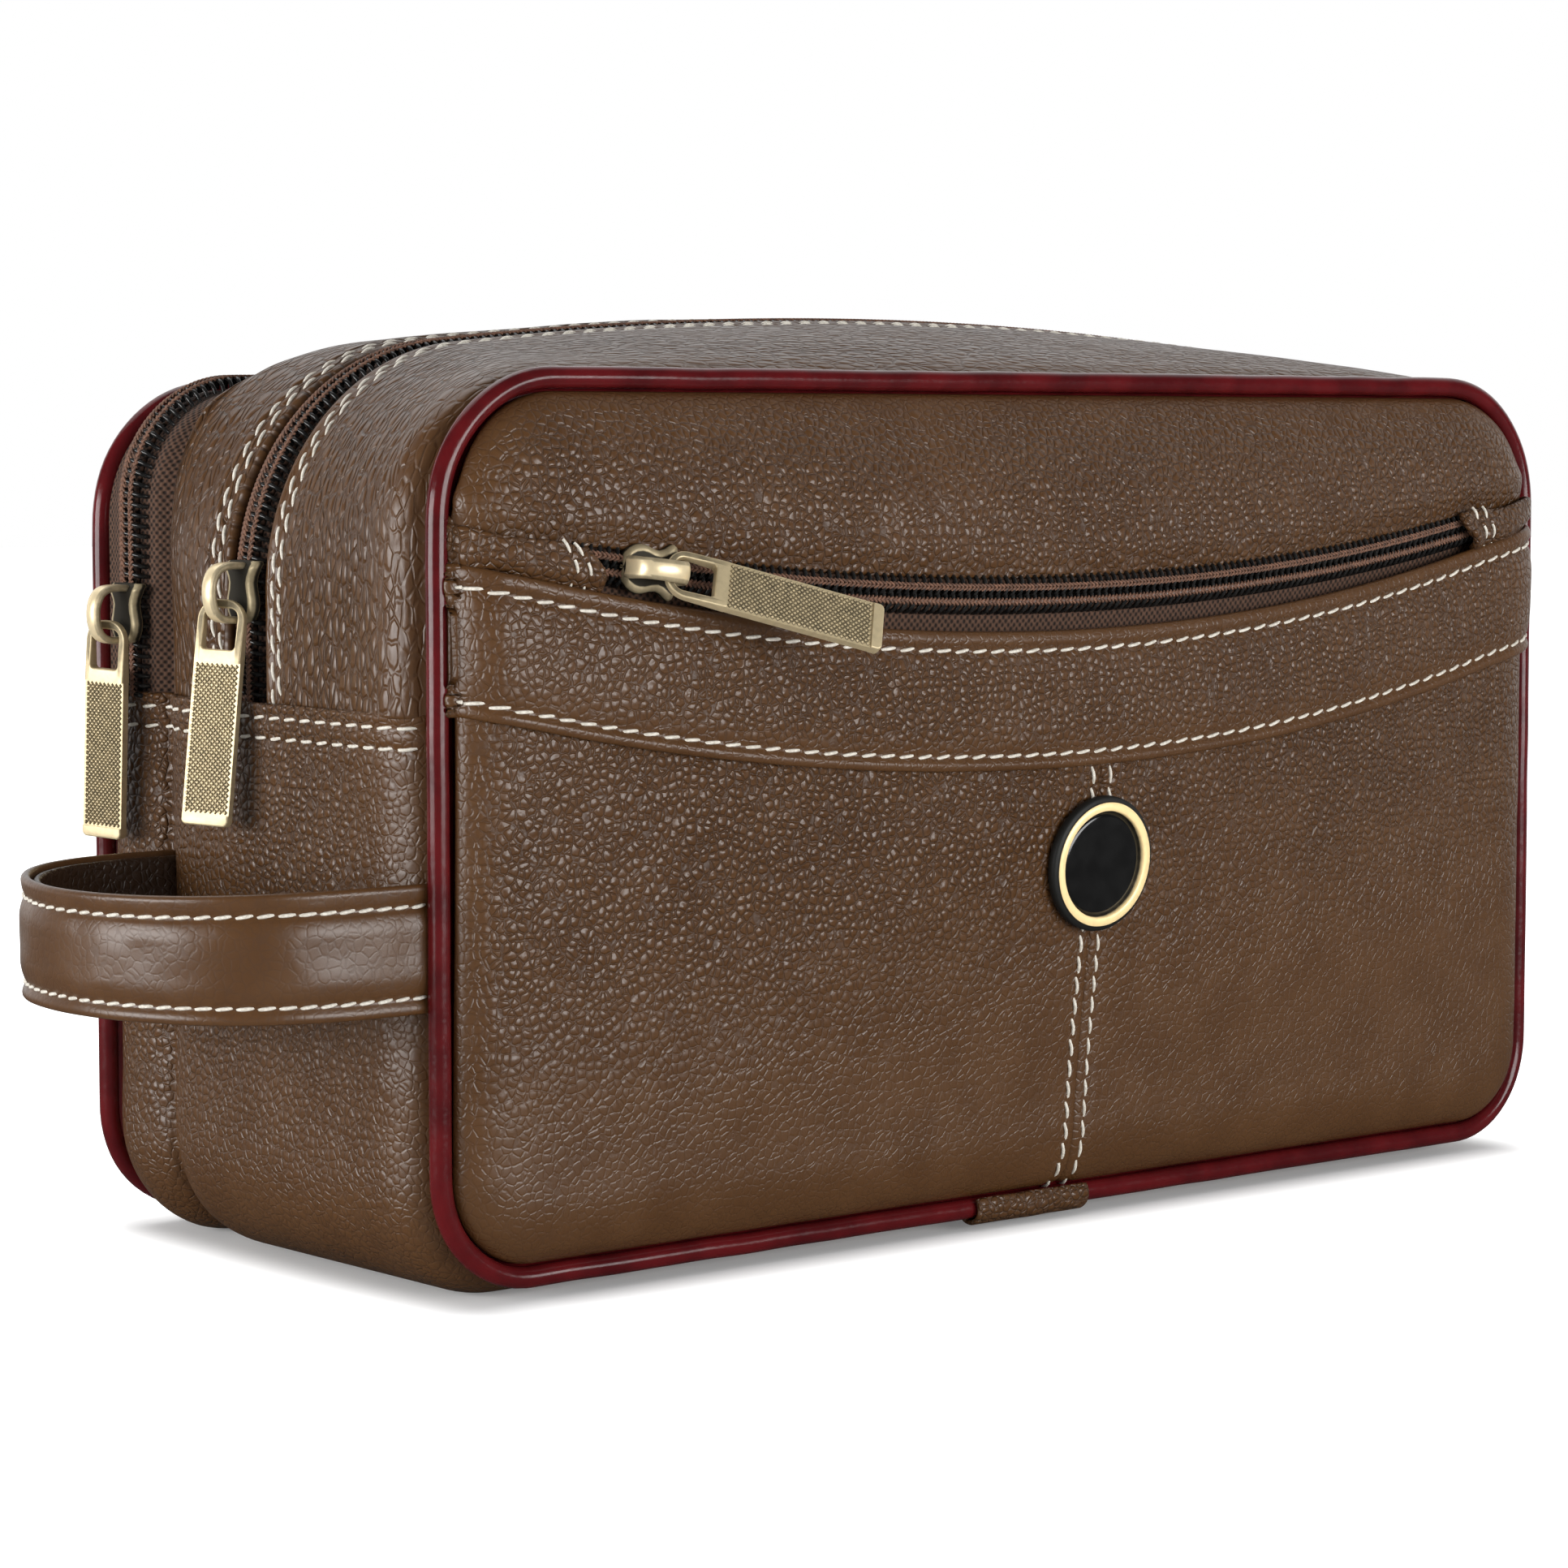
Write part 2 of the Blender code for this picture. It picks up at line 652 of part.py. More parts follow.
def pull_tab(name, frame, pose):
    # Flat pull: a ring round the bridge, a plain neck and a sunk field on each face
    top = 0.0007
    low = top - PULL_LENGTH
    outer = rounded_plate(PULL_HALF, top, low, 0.0034, 0.0008)
    window = rounded_plate(0.0030, -top, -0.0073, 0.0015, 0.0007, 3)
    mesh = flat_outline(name, [outer, window], PULL_THICK / 2)
    part = add_part(name, mesh, antique_brass)
    place = pull_hang(frame, pose) @ Matrix.Rotation(math.radians(pose[2]), 4, "Y")
    part.matrix_world = place
    for word, side in (("outer", 1), ("inner", -1)):
        near, far = sorted((side * (PULL_THICK / 2 - 0.0003), side * 0.002))
        field_low, field_high = (-0.006, low + PULL_LIP, near), (0.006, PULL_FIELD, far)
        cut(part, add_cutter(f"{name}_{word}_field", field_low, field_high, place))
        near, far = sorted((side * PULL_BAR / 2, side * 0.002))
        cut(part, add_cutter(f"{name}_{word}_bar", (-0.006, -0.0024, near), (0.006, 0.002, far), place))
    return part


def add_hub(name, place, pieces):
    # An empty on the joint's axis carries the pieces that travel on it
    hub = bpy.data.objects.new(name, None)
    hub.empty_display_size = 0.01
    parts.objects.link(hub)
    hub.location = place
    for piece in pieces:
        piece.parent = hub
        piece.matrix_parent_inverse = Matrix.Translation(place).inverted()


def add_slider(name, frame, hub, pose):
    body = slider_body(f"{name}_slider_body", frame)
    bridge = slider_bridge(f"{name}_slider_bridge", frame)
    pull = pull_tab(f"{name}_pull", frame, pose)
    add_hub(f"{name}_travel", hub, (body, bridge, pull))


def add_sliders():
    up, left = Vector((0, 0, 1)), Vector((-1, 0, 0))
    main_place = Vector((TAPE_DROP - MAIN_END, ZIP_Y, MAIN_SLIDER_Z))
    main_hub = Vector((MAIN_RADIUS - MAIN_END, ZIP_Y, MAIN_SPRING))
    add_slider("main", frame_of(main_place, up, left), main_hub, MAIN_PULL_POSE)
    back_place = Vector((-BACK_END, BACK_ZIP_Y, BACK_SLIDER_Z))
    add_slider("back", frame_of(back_place, up, left), back_place, BACK_PULL_POSE)
    start = pocket_turn(POCKET_SLIDER_X)
    flat = frame_of(pocket_section(0.0, 0.0), Vector((1, 0, 0)), Vector((0, -1, 0)))
    add_slider("pocket", start @ flat, pocket_hub(), POCKET_PULL_POSE)


def badge_frame():
    step = 0.004
    middle = front_face(BADGE_X, BADGE_Z)
    rise = front_face(BADGE_X, BADGE_Z + step) - front_face(BADGE_X, BADGE_Z - step)
    along = Vector((1, 0, 0))
    up = rise.normalized()
    return frame_of(middle, up, along.cross(up))


def turned(name, profile, steps, material):
    mesh = bpy.data.meshes.new(name)
    bm = bmesh.new()
    row = [bm.verts.new((radius, 0, height)) for radius, height in profile]
    for first, second in zip(row, row[1:]):
        bm.edges.new((first, second))
    bm.to_mesh(mesh)
    bm.free()
    part = add_part(name, mesh, material)
    screw = part.modifiers.new("Turn", "SCREW")
    screw.steps = steps
    screw.render_steps = steps
    screw.use_merge_vertices = True
    screw.merge_threshold = 0.00001
    return part


def circle(radius, steps, x=0.0):
    points = []
    for step in range(steps):
        angle = 2 * math.pi * step / steps
        points.append((x + radius * math.cos(angle), radius * math.sin(angle)))
    return points


def prong(name, frame, x, radius, low, high):
    bm = bmesh.new()
    bmesh.ops.create_cone(bm, cap_ends=True, segments=8, radius1=radius, radius2=radius, depth=high - low)
    bmesh.ops.translate(bm, verts=bm.verts, vec=(x, 0, (low + high) / 2))
    mesh = bpy.data.meshes.new(name)
    bm.to_mesh(mesh)
    bm.free()
    return keep_cutter(name, mesh, frame)


def add_badge(panels):
    frame = badge_frame()
    rim = BADGE_RADIUS
    profile = [(0.0, 0.0015), (0.0094, 0.0015), (0.0094, 0.0022), (0.0099, 0.0025)]
    profile += [(rim - 0.0006, 0.0023), (rim, 0.0017), (rim, 0.0008), (rim - 0.0004, 0.0005), (0.0, 0.0005)]
    body = turned("badge_body", profile, 32, antique_brass)
    body.matrix_world = frame
    inlay = turned("badge_inlay", [(0.0, 0.0022), (0.0091, 0.0022), (0.0091, 0.0018), (0.0, 0.0018)], 32, enamel)
    inlay.matrix_world = frame
    holes = []
    for word, x, panel in (("left", -0.0065, panels[0]), ("right", 0.0065, panels[1])):
        cut(panel, prong(f"badge_hole_{word}", frame, x, 0.0011, -0.004, 0.003))
        cut(body, prong(f"badge_prong_{word}", frame, x, 0.0007, -0.0029, 0.0010), "UNION")
        holes.append(circle(0.0011, 8, x))
    washer = add_part("badge_washer", flat_outline("badge_washer", [circle(0.0095, 24)] + holes, 0.00025), steel)
    washer.matrix_world = frame @ Matrix.Translation((0, 0, -0.0023))


def handle_line(share):
    # A loop that leaves the bag square to its end and rounds off at the far side
    angle = math.pi * share
    half = (HANDLE_REAR_Y - HANDLE_FRONT_Y) / 2
    y = (HANDLE_REAR_Y + HANDLE_FRONT_Y) / 2 - half * math.cos(angle)
    return Vector((HANDLE_ROOT_X - HANDLE_REACH * math.sin(angle) ** 0.6, y, 0))


def add_handle():
    def strip(offset, low, high):
        def place(u, v):
            share = 1.0 - u
            step = 0.0005
            ahead = handle_line(min(1.0, share + step)) - handle_line(max(0.0, share - step))
            outward = Vector((-ahead.y, ahead.x, 0)).normalized()
            point = handle_line(share) + outward * offset
            point.x = min(point.x, HANDLE_ROOT_X)
            point.z = lerp(low, high, v)
            return point

        return place

    outer = strip(0.0015, HANDLE_LOW, HANDLE_HIGH)
    inner = strip(0.0015 - HANDLE_OUTER - GAP, HANDLE_LOW + 0.0006, HANDLE_HIGH - 0.0006)
    sheet("handle_outer", 22, 2, outer, HANDLE_OUTER, leather)
    sheet("handle_inner", 22, 2, inner, LEATHER, leather)


def lining_band(name, low, high, low_radius, top_radius, material):
    # Lining of a gusset: ends and base, rounded in at the corners, open at the top
    bm = bmesh.new()
    bmesh.ops.create_cube(bm, size=1.0)
    low, high = Vector(low), Vector(high)
    for vert in bm.verts:
        vert.co = (low + high) / 2 + vert.co * (high - low)
    for level, radius in ((low.z, low_radius), (high.z, top_radius)):
        rims = [e for e in bm.edges if all(abs(v.co.z - level) < GAP for v in e.verts)]
        ends = [e for e in rims if abs(e.verts[0].co.x - e.verts[1].co.x) < GAP]
        bmesh.ops.bevel(bm, geom=ends, offset=radius, segments=5, profile=0.5, affect="EDGES")
    bm.normal_update()
    walls = [f for f in bm.faces if f.normal.z > 0.999 or abs(f.normal.y) > 0.999]
    bmesh.ops.delete(bm, geom=walls, context="FACES")
    mesh = bpy.data.meshes.new(name)
    bm.to_mesh(mesh)
    bm.free()
    part = add_part(name, mesh, material)
    shell = part.modifiers.new("Thickness", "SOLIDIFY")
    shell.thickness = LINING
    shell.offset = -1.0
    return part


def add_linings():
    low = LINING_BASE
    top = LINING_TOP
    end = LINING_END
    main_low, main_high = (-end, -0.0434, low), (end, 0.0256, top)
    main = lining_band("main_lining_gusset", main_low, main_high, LINING_LOW_CORNER, 0.036, lining)
    back_low, back_high = (-end, 0.0280, low), (end, 0.0442, top)
    back = lining_band("back_lining_gusset", back_low, back_high, LINING_LOW_CORNER, 0.024, lining)
    for word, side in (("left", -1), ("right", 1)):
        near, far = sorted((side * 0.080, side * 0.140))
        cut(main, add_cutter(f"main_slot_{word}", (near, -0.0060, 0.090), (far, 0.0075, 0.150)))
        cut(back, add_cutter(f"back_slot_{word}", (near, 0.0295, 0.090), (far, 0.0500, 0.150)))

    def pocket_bag(u, v):
        # One folded sheet: up the back from the fold, and up behind the leather
        x = lerp(-0.104, 0.104, u)
        fold = 0.024
        if v < 0.5:
            z = lerp(welt_top(x) - 0.0095, fold, v / 0.5)
            return Vector((x, front_face(x, z).y + LEATHER + 0.0026, z))
        z = lerp(fold, 0.112, (v - 0.5) / 0.5)
        return Vector((x, -0.0455 if v > 0.5 else -0.0475, z))

    sheet("pocket_bag", 10, 10, pocket_bag, 0.0005, lining)


def add_boards():
    def board(name, points, half_thickness, place, material):
        part = add_part(name, flat_outline(name, [points], half_thickness), material)
        part.matrix_world = place
        return part

    upright = Matrix.Rotation(math.pi / 2, 4, "X")
    outline = rounded_loop(0.1234, 0.0057, 0.1433, 0.0163, 0.0218, 5)
    board("divider_panel", outline, 0.0005, Matrix.Translation((0, 0.0266, 0)) @ upright, lining)
    front = rounded_loop(LINING_END, LINING_BASE, LINING_TOP, LINING_LOW_CORNER, 0.034, 5)
    board("main_lining_front", front, LINING / 2, Matrix.Translation((0, -0.0442, 0)) @ upright, lining)
    rear = rounded_loop(LINING_END, LINING_BASE, LINING_TOP, LINING_LOW_CORNER, 0.022, 5)
    board("back_lining_rear", rear, LINING / 2, Matrix.Translation((0, 0.0448, 0)) @ upright, lining)
    outline = rounded_loop(0.112, 0.014, 0.134, 0.012, 0.012, 4)
    board("back_stiffener", outline, 0.0004, Matrix.Translation((0, 0.0458, 0)) @ upright, card)
    outline = rounded_loop(0.106, -0.033, 0.013, 0.006, 0.006, 4)
    board("base_board", outline, 0.0007, Matrix.Translation((0, 0, 0.0024)), card)


clear_scene()
parts = new_collection("shaving_kit_bag")
cutters = new_collection("cutters")
leather = new_material("leather", (0.115, 0.062, 0.026), 0.45)
vinyl = new_material("piping", (0.16, 0.012, 0.010), 0.2)
tape_cloth = new_material("zip_tape", (0.035, 0.018, 0.010), 0.9)
nylon = new_material("zip_coil", (0.010, 0.009, 0.008), 0.45)
antique_brass = new_material("antique_brass", (0.30, 0.20, 0.09), 0.4, 1.0)
bright_brass = new_material("bright_brass", (0.62, 0.44, 0.20), 0.3, 1.0)
enamel = new_material("black_enamel", (0.006, 0.006, 0.006), 0.15)
steel = new_material("washer_steel", (0.55, 0.55, 0.55), 0.35, 1.0)
lining = new_material("lining_cloth", (0.05, 0.035, 0.025), 0.9)
card = new_material("board", (0.32, 0.26, 0.18), 0.9)

front_pair = add_front_panels()
add_zip_tab("pocket_zip_tab_left", -0.1022, -0.1205)
add_zip_tab("pocket_zip_tab_right", 0.1005, 0.1205)
add_back_panel()
add_gusset()
add_piping("piping_front", -HALF_DEPTH, PIPING_TOP)
add_piping("piping_back", HALF_DEPTH, BACK_PIPING_TOP)
add_joint_cover("piping_joint_cover_front", -1)
add_joint_cover("piping_joint_cover_back", 1)
add_zips()
add_sliders()
add_badge(front_pair)
add_handle()
add_linings()
add_boards()
bpy.context.view_layer.update()
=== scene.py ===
import json
import math

import bmesh
import bpy
import numpy as np
from mathutils import Matrix, Vector


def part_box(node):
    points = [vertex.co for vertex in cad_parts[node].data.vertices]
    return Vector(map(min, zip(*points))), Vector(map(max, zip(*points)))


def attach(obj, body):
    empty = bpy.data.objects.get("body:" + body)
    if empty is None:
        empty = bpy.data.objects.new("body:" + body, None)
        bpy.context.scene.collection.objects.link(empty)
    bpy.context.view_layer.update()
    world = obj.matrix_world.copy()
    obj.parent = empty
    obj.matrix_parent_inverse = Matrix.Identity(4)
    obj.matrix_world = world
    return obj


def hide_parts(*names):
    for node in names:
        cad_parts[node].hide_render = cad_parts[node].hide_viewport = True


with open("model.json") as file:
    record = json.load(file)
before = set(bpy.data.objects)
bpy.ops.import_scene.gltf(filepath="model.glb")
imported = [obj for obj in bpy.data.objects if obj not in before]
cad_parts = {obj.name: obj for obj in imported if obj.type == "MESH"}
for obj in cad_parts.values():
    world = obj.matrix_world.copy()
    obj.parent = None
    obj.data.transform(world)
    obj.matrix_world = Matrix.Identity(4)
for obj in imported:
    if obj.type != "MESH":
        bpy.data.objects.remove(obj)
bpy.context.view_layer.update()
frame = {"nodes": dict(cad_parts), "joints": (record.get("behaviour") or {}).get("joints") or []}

# Leather shaving kit bag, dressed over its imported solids.
# X runs along the bag with the handle on the left end, the front faces -Y.

mm = 0.001
print("frame loaded,", len(frame["nodes"]), "nodes")


# Small maths

def lerp(a, b, t):
    return a + (b - a) * t


def ease(t):
    t = np.clip(t, 0.0, 1.0)
    return t * t * (3.0 - 2.0 * t)


def bell(distance, width):
    return np.exp(-(distance / width) ** 2)


def quarter(part):
    # Rises from 0 to 1 through a quarter circle
    return np.sqrt(1.0 - (1.0 - part) ** 2)


def unit(v):
    return v / np.maximum(np.linalg.norm(v, axis=-1, keepdims=True), 1e-12)


def xyz(x, y, z):
    return np.stack(np.broadcast_arrays(x, y, z), axis=-1).astype(float)


def swell(points, size, seed):
    # Smooth lumps about one size across, from -1 to 1
    spot = points / size + seed * 7.31
    cell = np.floor(spot).astype(np.int64)
    part = spot - cell
    part = part * part * (3.0 - 2.0 * part)
    total = np.zeros(points.shape[:-1])
    for corner in np.ndindex(2, 2, 2):
        at = cell + np.array(corner)
        mixed = at[..., 0] * 374761393 + at[..., 1] * 668265263 + at[..., 2] * 1274126177 + seed * 974711
        mixed = (mixed ^ (mixed >> 13)) * 1103515245
        value = ((mixed ^ (mixed >> 16)) & 0xFFFF) / 32767.5 - 1.0
        weight = np.ones(points.shape[:-1])
        for axis in range(3):
            weight = weight * (part[..., axis] if corner[axis] else 1.0 - part[..., axis])
        total += weight * value
    return total


def runLength(line):
    # Distance along a line at each of its points
    return np.concatenate([[0.0], np.cumsum(np.linalg.norm(np.diff(line, axis=0), axis=1))])


def stops(count, centres=(), reach=0.02, extra=8):
    # Shares from 0 to 1, set closer together about each centre
    near = [c + reach * np.linspace(-1, 1, extra + 1) for c in centres]
    every = np.unique(np.clip(np.concatenate([np.linspace(0, 1, count + 1), *near]), 0, 1))
    kept = [0.0]
    least = 0.12 / count
    for share in every[1:-1]:
        if share - kept[-1] > least and 1.0 - share > least:
            kept.append(share)
    return np.array(kept + [1.0])


def evenStops(path, count):
    # Shares that step evenly along a path
    fine = np.linspace(0, 1, 2001)
    line = path(fine)
    run = runLength(line)
    return np.interp(np.linspace(0, run[-1], count + 1), run, fine)


# Node trees and materials

def nodeAdder(tree):
    def add(kind, inputs=None, **settings):
        node = tree.nodes.new(kind)
        for key, value in settings.items():
            setattr(node, key, value)
        for key, value in (inputs or {}).items():
            if isinstance(value, bpy.types.NodeSocket):
                tree.links.new(value, node.inputs[key])
            else:
                node.inputs[key].default_value = value
        return node

    return add


def mathAdder(add):
    def calc(operation, first, second=0.0, clamp=False):
        return add("ShaderNodeMath", {0: first, 1: second}, operation=operation, use_clamp=clamp).outputs[0]

    return calc


def newGroup(name, vector, numbers, outputs):
    group = bpy.data.node_groups.new(name, "ShaderNodeTree")
    group.interface.new_socket(vector, in_out="INPUT", socket_type="NodeSocketVector")
    for label, default in numbers.items():
        socket = group.interface.new_socket(label, in_out="INPUT", socket_type="NodeSocketFloat")
        socket.default_value = default
    for label in outputs:
        group.interface.new_socket(label, in_out="OUTPUT", socket_type="NodeSocketFloat")
    return group


def noise(add, spot, scale, detail):
    return add("ShaderNodeTexNoise", {"Vector": spot, "Scale": scale, "Detail": detail}).outputs["Fac"]


def vectors(add, operation, first, second=(0.0, 0.0, 0.0)):
    return add("ShaderNodeVectorMath", {0: first, 1: second}, operation=operation).outputs[0]


def remap(add, value, low, high, start=0.0, end=1.0, kind="SMOOTHSTEP"):
    ranged = {"Value": value, "From Min": low, "From Max": high, "To Min": start, "To Max": end}
    return add("ShaderNodeMapRange", ranged, interpolation_type=kind).outputs["Result"]


def mixColour(add, share, first, second):
    node = add("ShaderNodeMix", {"Factor": share}, data_type="RGBA")
    for key, value in (("A", first), ("B", second)):
        socket = next(s for s in node.inputs if s.name == key and s.type == "RGBA")
        if isinstance(value, bpy.types.NodeSocket):
            node.id_data.links.new(value, socket)
        else:
            socket.default_value = (*value, 1.0)
    return next(s for s in node.outputs if s.type == "RGBA")


# Grain of the hide and weave of the cloth: scales are per metre, the rest are shares
grainForm = {
    "warpScale": 380.0, "warp": 0.0012, "randomness": 0.9, "smoothness": 0.3, "creaseWidth": 0.12,
    "grooveWidth": 0.17, "groove": 0.45, "domeWidth": 0.72, "dome": 0.55, "patchScale": 26.0, "firm": 0.16,
    "soft": 0.14, "leastSlack": 0.6, "tautLines": 0.16, "fineScale": 2600.0, "fine": 0.02, "toneScale": 90.0,
}
weaveForm = {"ply": 0.85, "rib": 0.15, "fuzzScale": 900.0, "fuzz": 0.35}


def grainGroup():
    # Pebbled hide: rounded cells, the creases between them, and how far the hide is stretched
    form = grainForm
    numbers = {"Pebble": 700.0, "Stretch": 0.5, "Taut": 0.0}
    group = newGroup("hideGrain", "Vector", numbers, ("Height", "Crease", "Slack", "Tone"))
    add = nodeAdder(group)
    calc = mathAdder(add)
    given = add("NodeGroupInput").outputs
    spot = given["Vector"]
    spread = add("ShaderNodeTexNoise", {"Vector": spot, "Scale": form["warpScale"], "Detail": 2.0})
    shift = vectors(add, "SUBTRACT", spread.outputs["Color"], (0.5, 0.5, 0.5))
    push = add("ShaderNodeVectorMath", {0: shift, "Scale": form["warp"]}, operation="SCALE").outputs[0]
    bent = vectors(add, "ADD", spot, push)
    cells = {"Vector": bent, "Scale": given["Pebble"], "Randomness": form["randomness"]}
    edge = add("ShaderNodeTexVoronoi", cells, feature="DISTANCE_TO_EDGE").outputs["Distance"]
    rounded = {**cells, "Smoothness": form["smoothness"]}
    core = add("ShaderNodeTexVoronoi", rounded, feature="SMOOTH_F1").outputs["Distance"]
    crease = remap(add, edge, 0.0, form["creaseWidth"], 1.0, 0.0)
    groove = remap(add, edge, 0.0, form["grooveWidth"], 0.0, form["groove"])
    dome = remap(add, core, 0.0, form["domeWidth"], form["dome"], 0.0)
    wide = noise(add, spot, form["patchScale"], 3.0)
    firm = calc("SUBTRACT", given["Stretch"], form["firm"])
    soft = calc("ADD", given["Stretch"], form["soft"])
    loose = remap(add, wide, firm, soft, form["leastSlack"], 1.0)
    slack = calc("MULTIPLY", loose, calc("SUBTRACT", 1.0, given["Taut"]))
    lines = calc("ADD", calc("MULTIPLY", slack, 1.0 - form["tautLines"]), form["tautLines"])
    folds = calc("ADD", calc("MULTIPLY", groove, lines), calc("MULTIPLY", dome, slack))
    fine = noise(add, spot, form["fineScale"], 2.0)
    tone = noise(add, spot, form["toneScale"], 4.0)
    height = calc("ADD", folds, calc("MULTIPLY", fine, form["fine"]))
    results = {"Height": height, "Crease": calc("MULTIPLY", crease, lines), "Slack": slack, "Tone": tone}
    add("NodeGroupOutput", results)
    return group


def weaveGroup():
    # Two sets of yarns crossing on a map laid out in metres
    group = newGroup("plainWeave", "Map", {"Yarns": 1800.0}, ("Height", "Tone"))
    add = nodeAdder(group)
    calc = mathAdder(add)
    given = add("NodeGroupInput").outputs
    sides = add("ShaderNodeSeparateXYZ", {0: given["Map"]}).outputs
    along = calc("MULTIPLY", sides["X"], given["Yarns"])
    across = calc("MULTIPLY", sides["Y"], given["Yarns"])
    warp = calc("COSINE", calc("MULTIPLY", along, math.pi))
    weft = calc("COSINE", calc("MULTIPLY", across, math.pi))
    ply = calc("MULTIPLY", calc("ADD", calc("MULTIPLY", warp, weft), 1.0), 0.5)
    rib = calc("ABSOLUTE", calc("SINE", calc("MULTIPLY", along, math.pi)))
    loose = noise(add, given["Map"], weaveForm["fuzzScale"], 2.0)
    height = calc("ADD", calc("MULTIPLY", ply, weaveForm["ply"]), calc("MULTIPLY", rib, weaveForm["rib"]))
    # Painted shade: the tone follows the weave's height, darker in the hollows between the yarns, and varies
    # at random with the fuzz noise
    tone = calc("MULTIPLY", height, calc("ADD", loose, weaveForm["fuzz"]))
    add("NodeGroupOutput", {"Height": height, "Tone": tone})
    return group


hideGrain = grainGroup()
plainWeave = weaveGroup()


def newMaterial(name, roughness, metallic=0.0, **plain):
    material = bpy.data.materials.new(name)
    material.use_nodes = True
    tree = material.node_tree
    shader = tree.nodes["Principled BSDF"]
    shader.inputs["Roughness"].default_value = roughness
    shader.inputs["Metallic"].default_value = metallic
    for key, value in plain.items():
        shader.inputs[key.replace("_", " ")].default_value = value
    return material, nodeAdder(tree), shader


def feed(shader, key, value):
    shader.id_data.links.new(value, shader.inputs[key])


def bumped(add, shader, height, depth, strength=1.0):
    node = add("ShaderNodeBump", {"Height": height, "Distance": depth, "Strength": strength})
    feed(shader, "Normal", node.outputs["Normal"])


def hideMaterial(name, look):
    material, add, shader = newMaterial(name, 0.5, Specular_IOR_Level=look["specular"])
    calc = mathAdder(add)
    spot = add("ShaderNodeTexCoord").outputs["Object"]
    if "drawn" in look:
        along = add("ShaderNodeTexCoord").outputs["UV"]
        spot = vectors(add, "MULTIPLY", along, (look["drawn"], 1.0, 1.0))
    grain = add("ShaderNodeGroup", node_tree=hideGrain)
    material.node_tree.links.new(spot, grain.inputs["Vector"])
    grain.inputs["Pebble"].default_value = look["pebble"]
    grain.inputs["Stretch"].default_value = look["stretch"]
    taut = add("ShaderNodeAttribute", attribute_name="taut").outputs["Fac"]
    material.node_tree.links.new(taut, grain.inputs["Taut"])
    out = grain.outputs
    body = mixColour(add, remap(add, out["Tone"], 0.3, 0.7), look["deep"], look["main"])
    # Painted shade: the base colour darkens towards the crease colour in the grain's creases
    creaseShaded = mixColour(add, calc("MULTIPLY", out["Crease"], look["creaseTone"]), body, look["crease"])
    feed(shader, "Base Color", creaseShaded)
    dull = calc("MULTIPLY", out["Crease"], look["creaseRough"])
    rough = calc("ADD", dull, calc("MULTIPLY", out["Tone"], look["toneRough"]))
    feed(shader, "Roughness", calc("ADD", rough, look["roughness"]))
    bumped(add, shader, out["Height"], look["depth"])
    return material


def pipingMaterial(look):
    material, add, shader = newMaterial("pipingVinyl", look["smooth"], Specular_IOR_Level=look["specular"])
    spot = add("ShaderNodeTexCoord").outputs["Object"]
    cloud = noise(add, spot, look["cloudScale"], 3.0)
    speck = noise(add, spot, look["speckScale"], 2.0)
    feed(shader, "Base Color", mixColour(add, remap(add, cloud, 0.3, 0.7), look["deep"], look["main"]))
    feed(shader, "Roughness", remap(add, speck, 0.35, 0.75, look["smooth"], look["dull"]))
    bumped(add, shader, cloud, look["depth"], 0.5)
    return material


def clothMaterial(name, dark, light, yarns, depth, roughness=0.85):
    material, add, shader = newMaterial(name, roughness, Specular_IOR_Level=0.25, Sheen_Weight=0.05)
    weave = add("ShaderNodeGroup", node_tree=plainWeave)
    material.node_tree.links.new(add("ShaderNodeTexCoord").outputs["UV"], weave.inputs["Map"])
    weave.inputs["Yarns"].default_value = yarns
    # Painted shade between the yarns: the weave's tone blends from the dark colour in its hollows to the
    # light one on the yarns
    feed(shader, "Base Color", mixColour(add, remap(add, weave.outputs["Tone"], 0.1, 0.75), dark, light))
    bumped(add, shader, weave.outputs["Height"], depth)
    return material


# Wear of the brass: mottle in the patina, how much duller the patina is, and fine scratches
brassWear = {"mottleScale": 700.0, "mottle": 0.55, "dull": 0.22, "scratchScale": 2400.0, "scratch": 0.00002}


def brassMaterial(name, bright, patina, roughness, metallic=0.55):
    # The polish attribute is 1 where the metal is rubbed bright and 0 where the patina stays
    material, add, shader = newMaterial(name, roughness, metallic)
    calc = mathAdder(add)
    spot = add("ShaderNodeTexCoord").outputs["Object"]
    polish = add("ShaderNodeAttribute", attribute_name="polish").outputs["Fac"]
    mottle = calc("SUBTRACT", noise(add, spot, brassWear["mottleScale"], 4.0), 0.5)
    share = calc("ADD", polish, calc("MULTIPLY", mottle, brassWear["mottle"]), clamp=True)
    feed(shader, "Base Color", mixColour(add, share, patina, bright))
    feed(shader, "Roughness", remap(add, share, 0.0, 1.0, roughness + brassWear["dull"], roughness))
    bumped(add, shader, noise(add, spot, brassWear["scratchScale"], 2.0), brassWear["scratch"], 0.6)
    return material


def plainMaterial(name, dark, light, size, roughness, depth=0.00003, metallic=0.0):
    material, add, shader = newMaterial(name, roughness, metallic)
    cloud = noise(add, add("ShaderNodeTexCoord").outputs["Object"], size, 4.0)
    feed(shader, "Base Color", mixColour(add, remap(add, cloud, 0.3, 0.7), dark, light))
    feed(shader, "Roughness", remap(add, cloud, 0.3, 0.7, roughness * 0.85, min(1.0, roughness * 1.15)))
    bumped(add, shader, cloud, depth, 0.7)
    return material
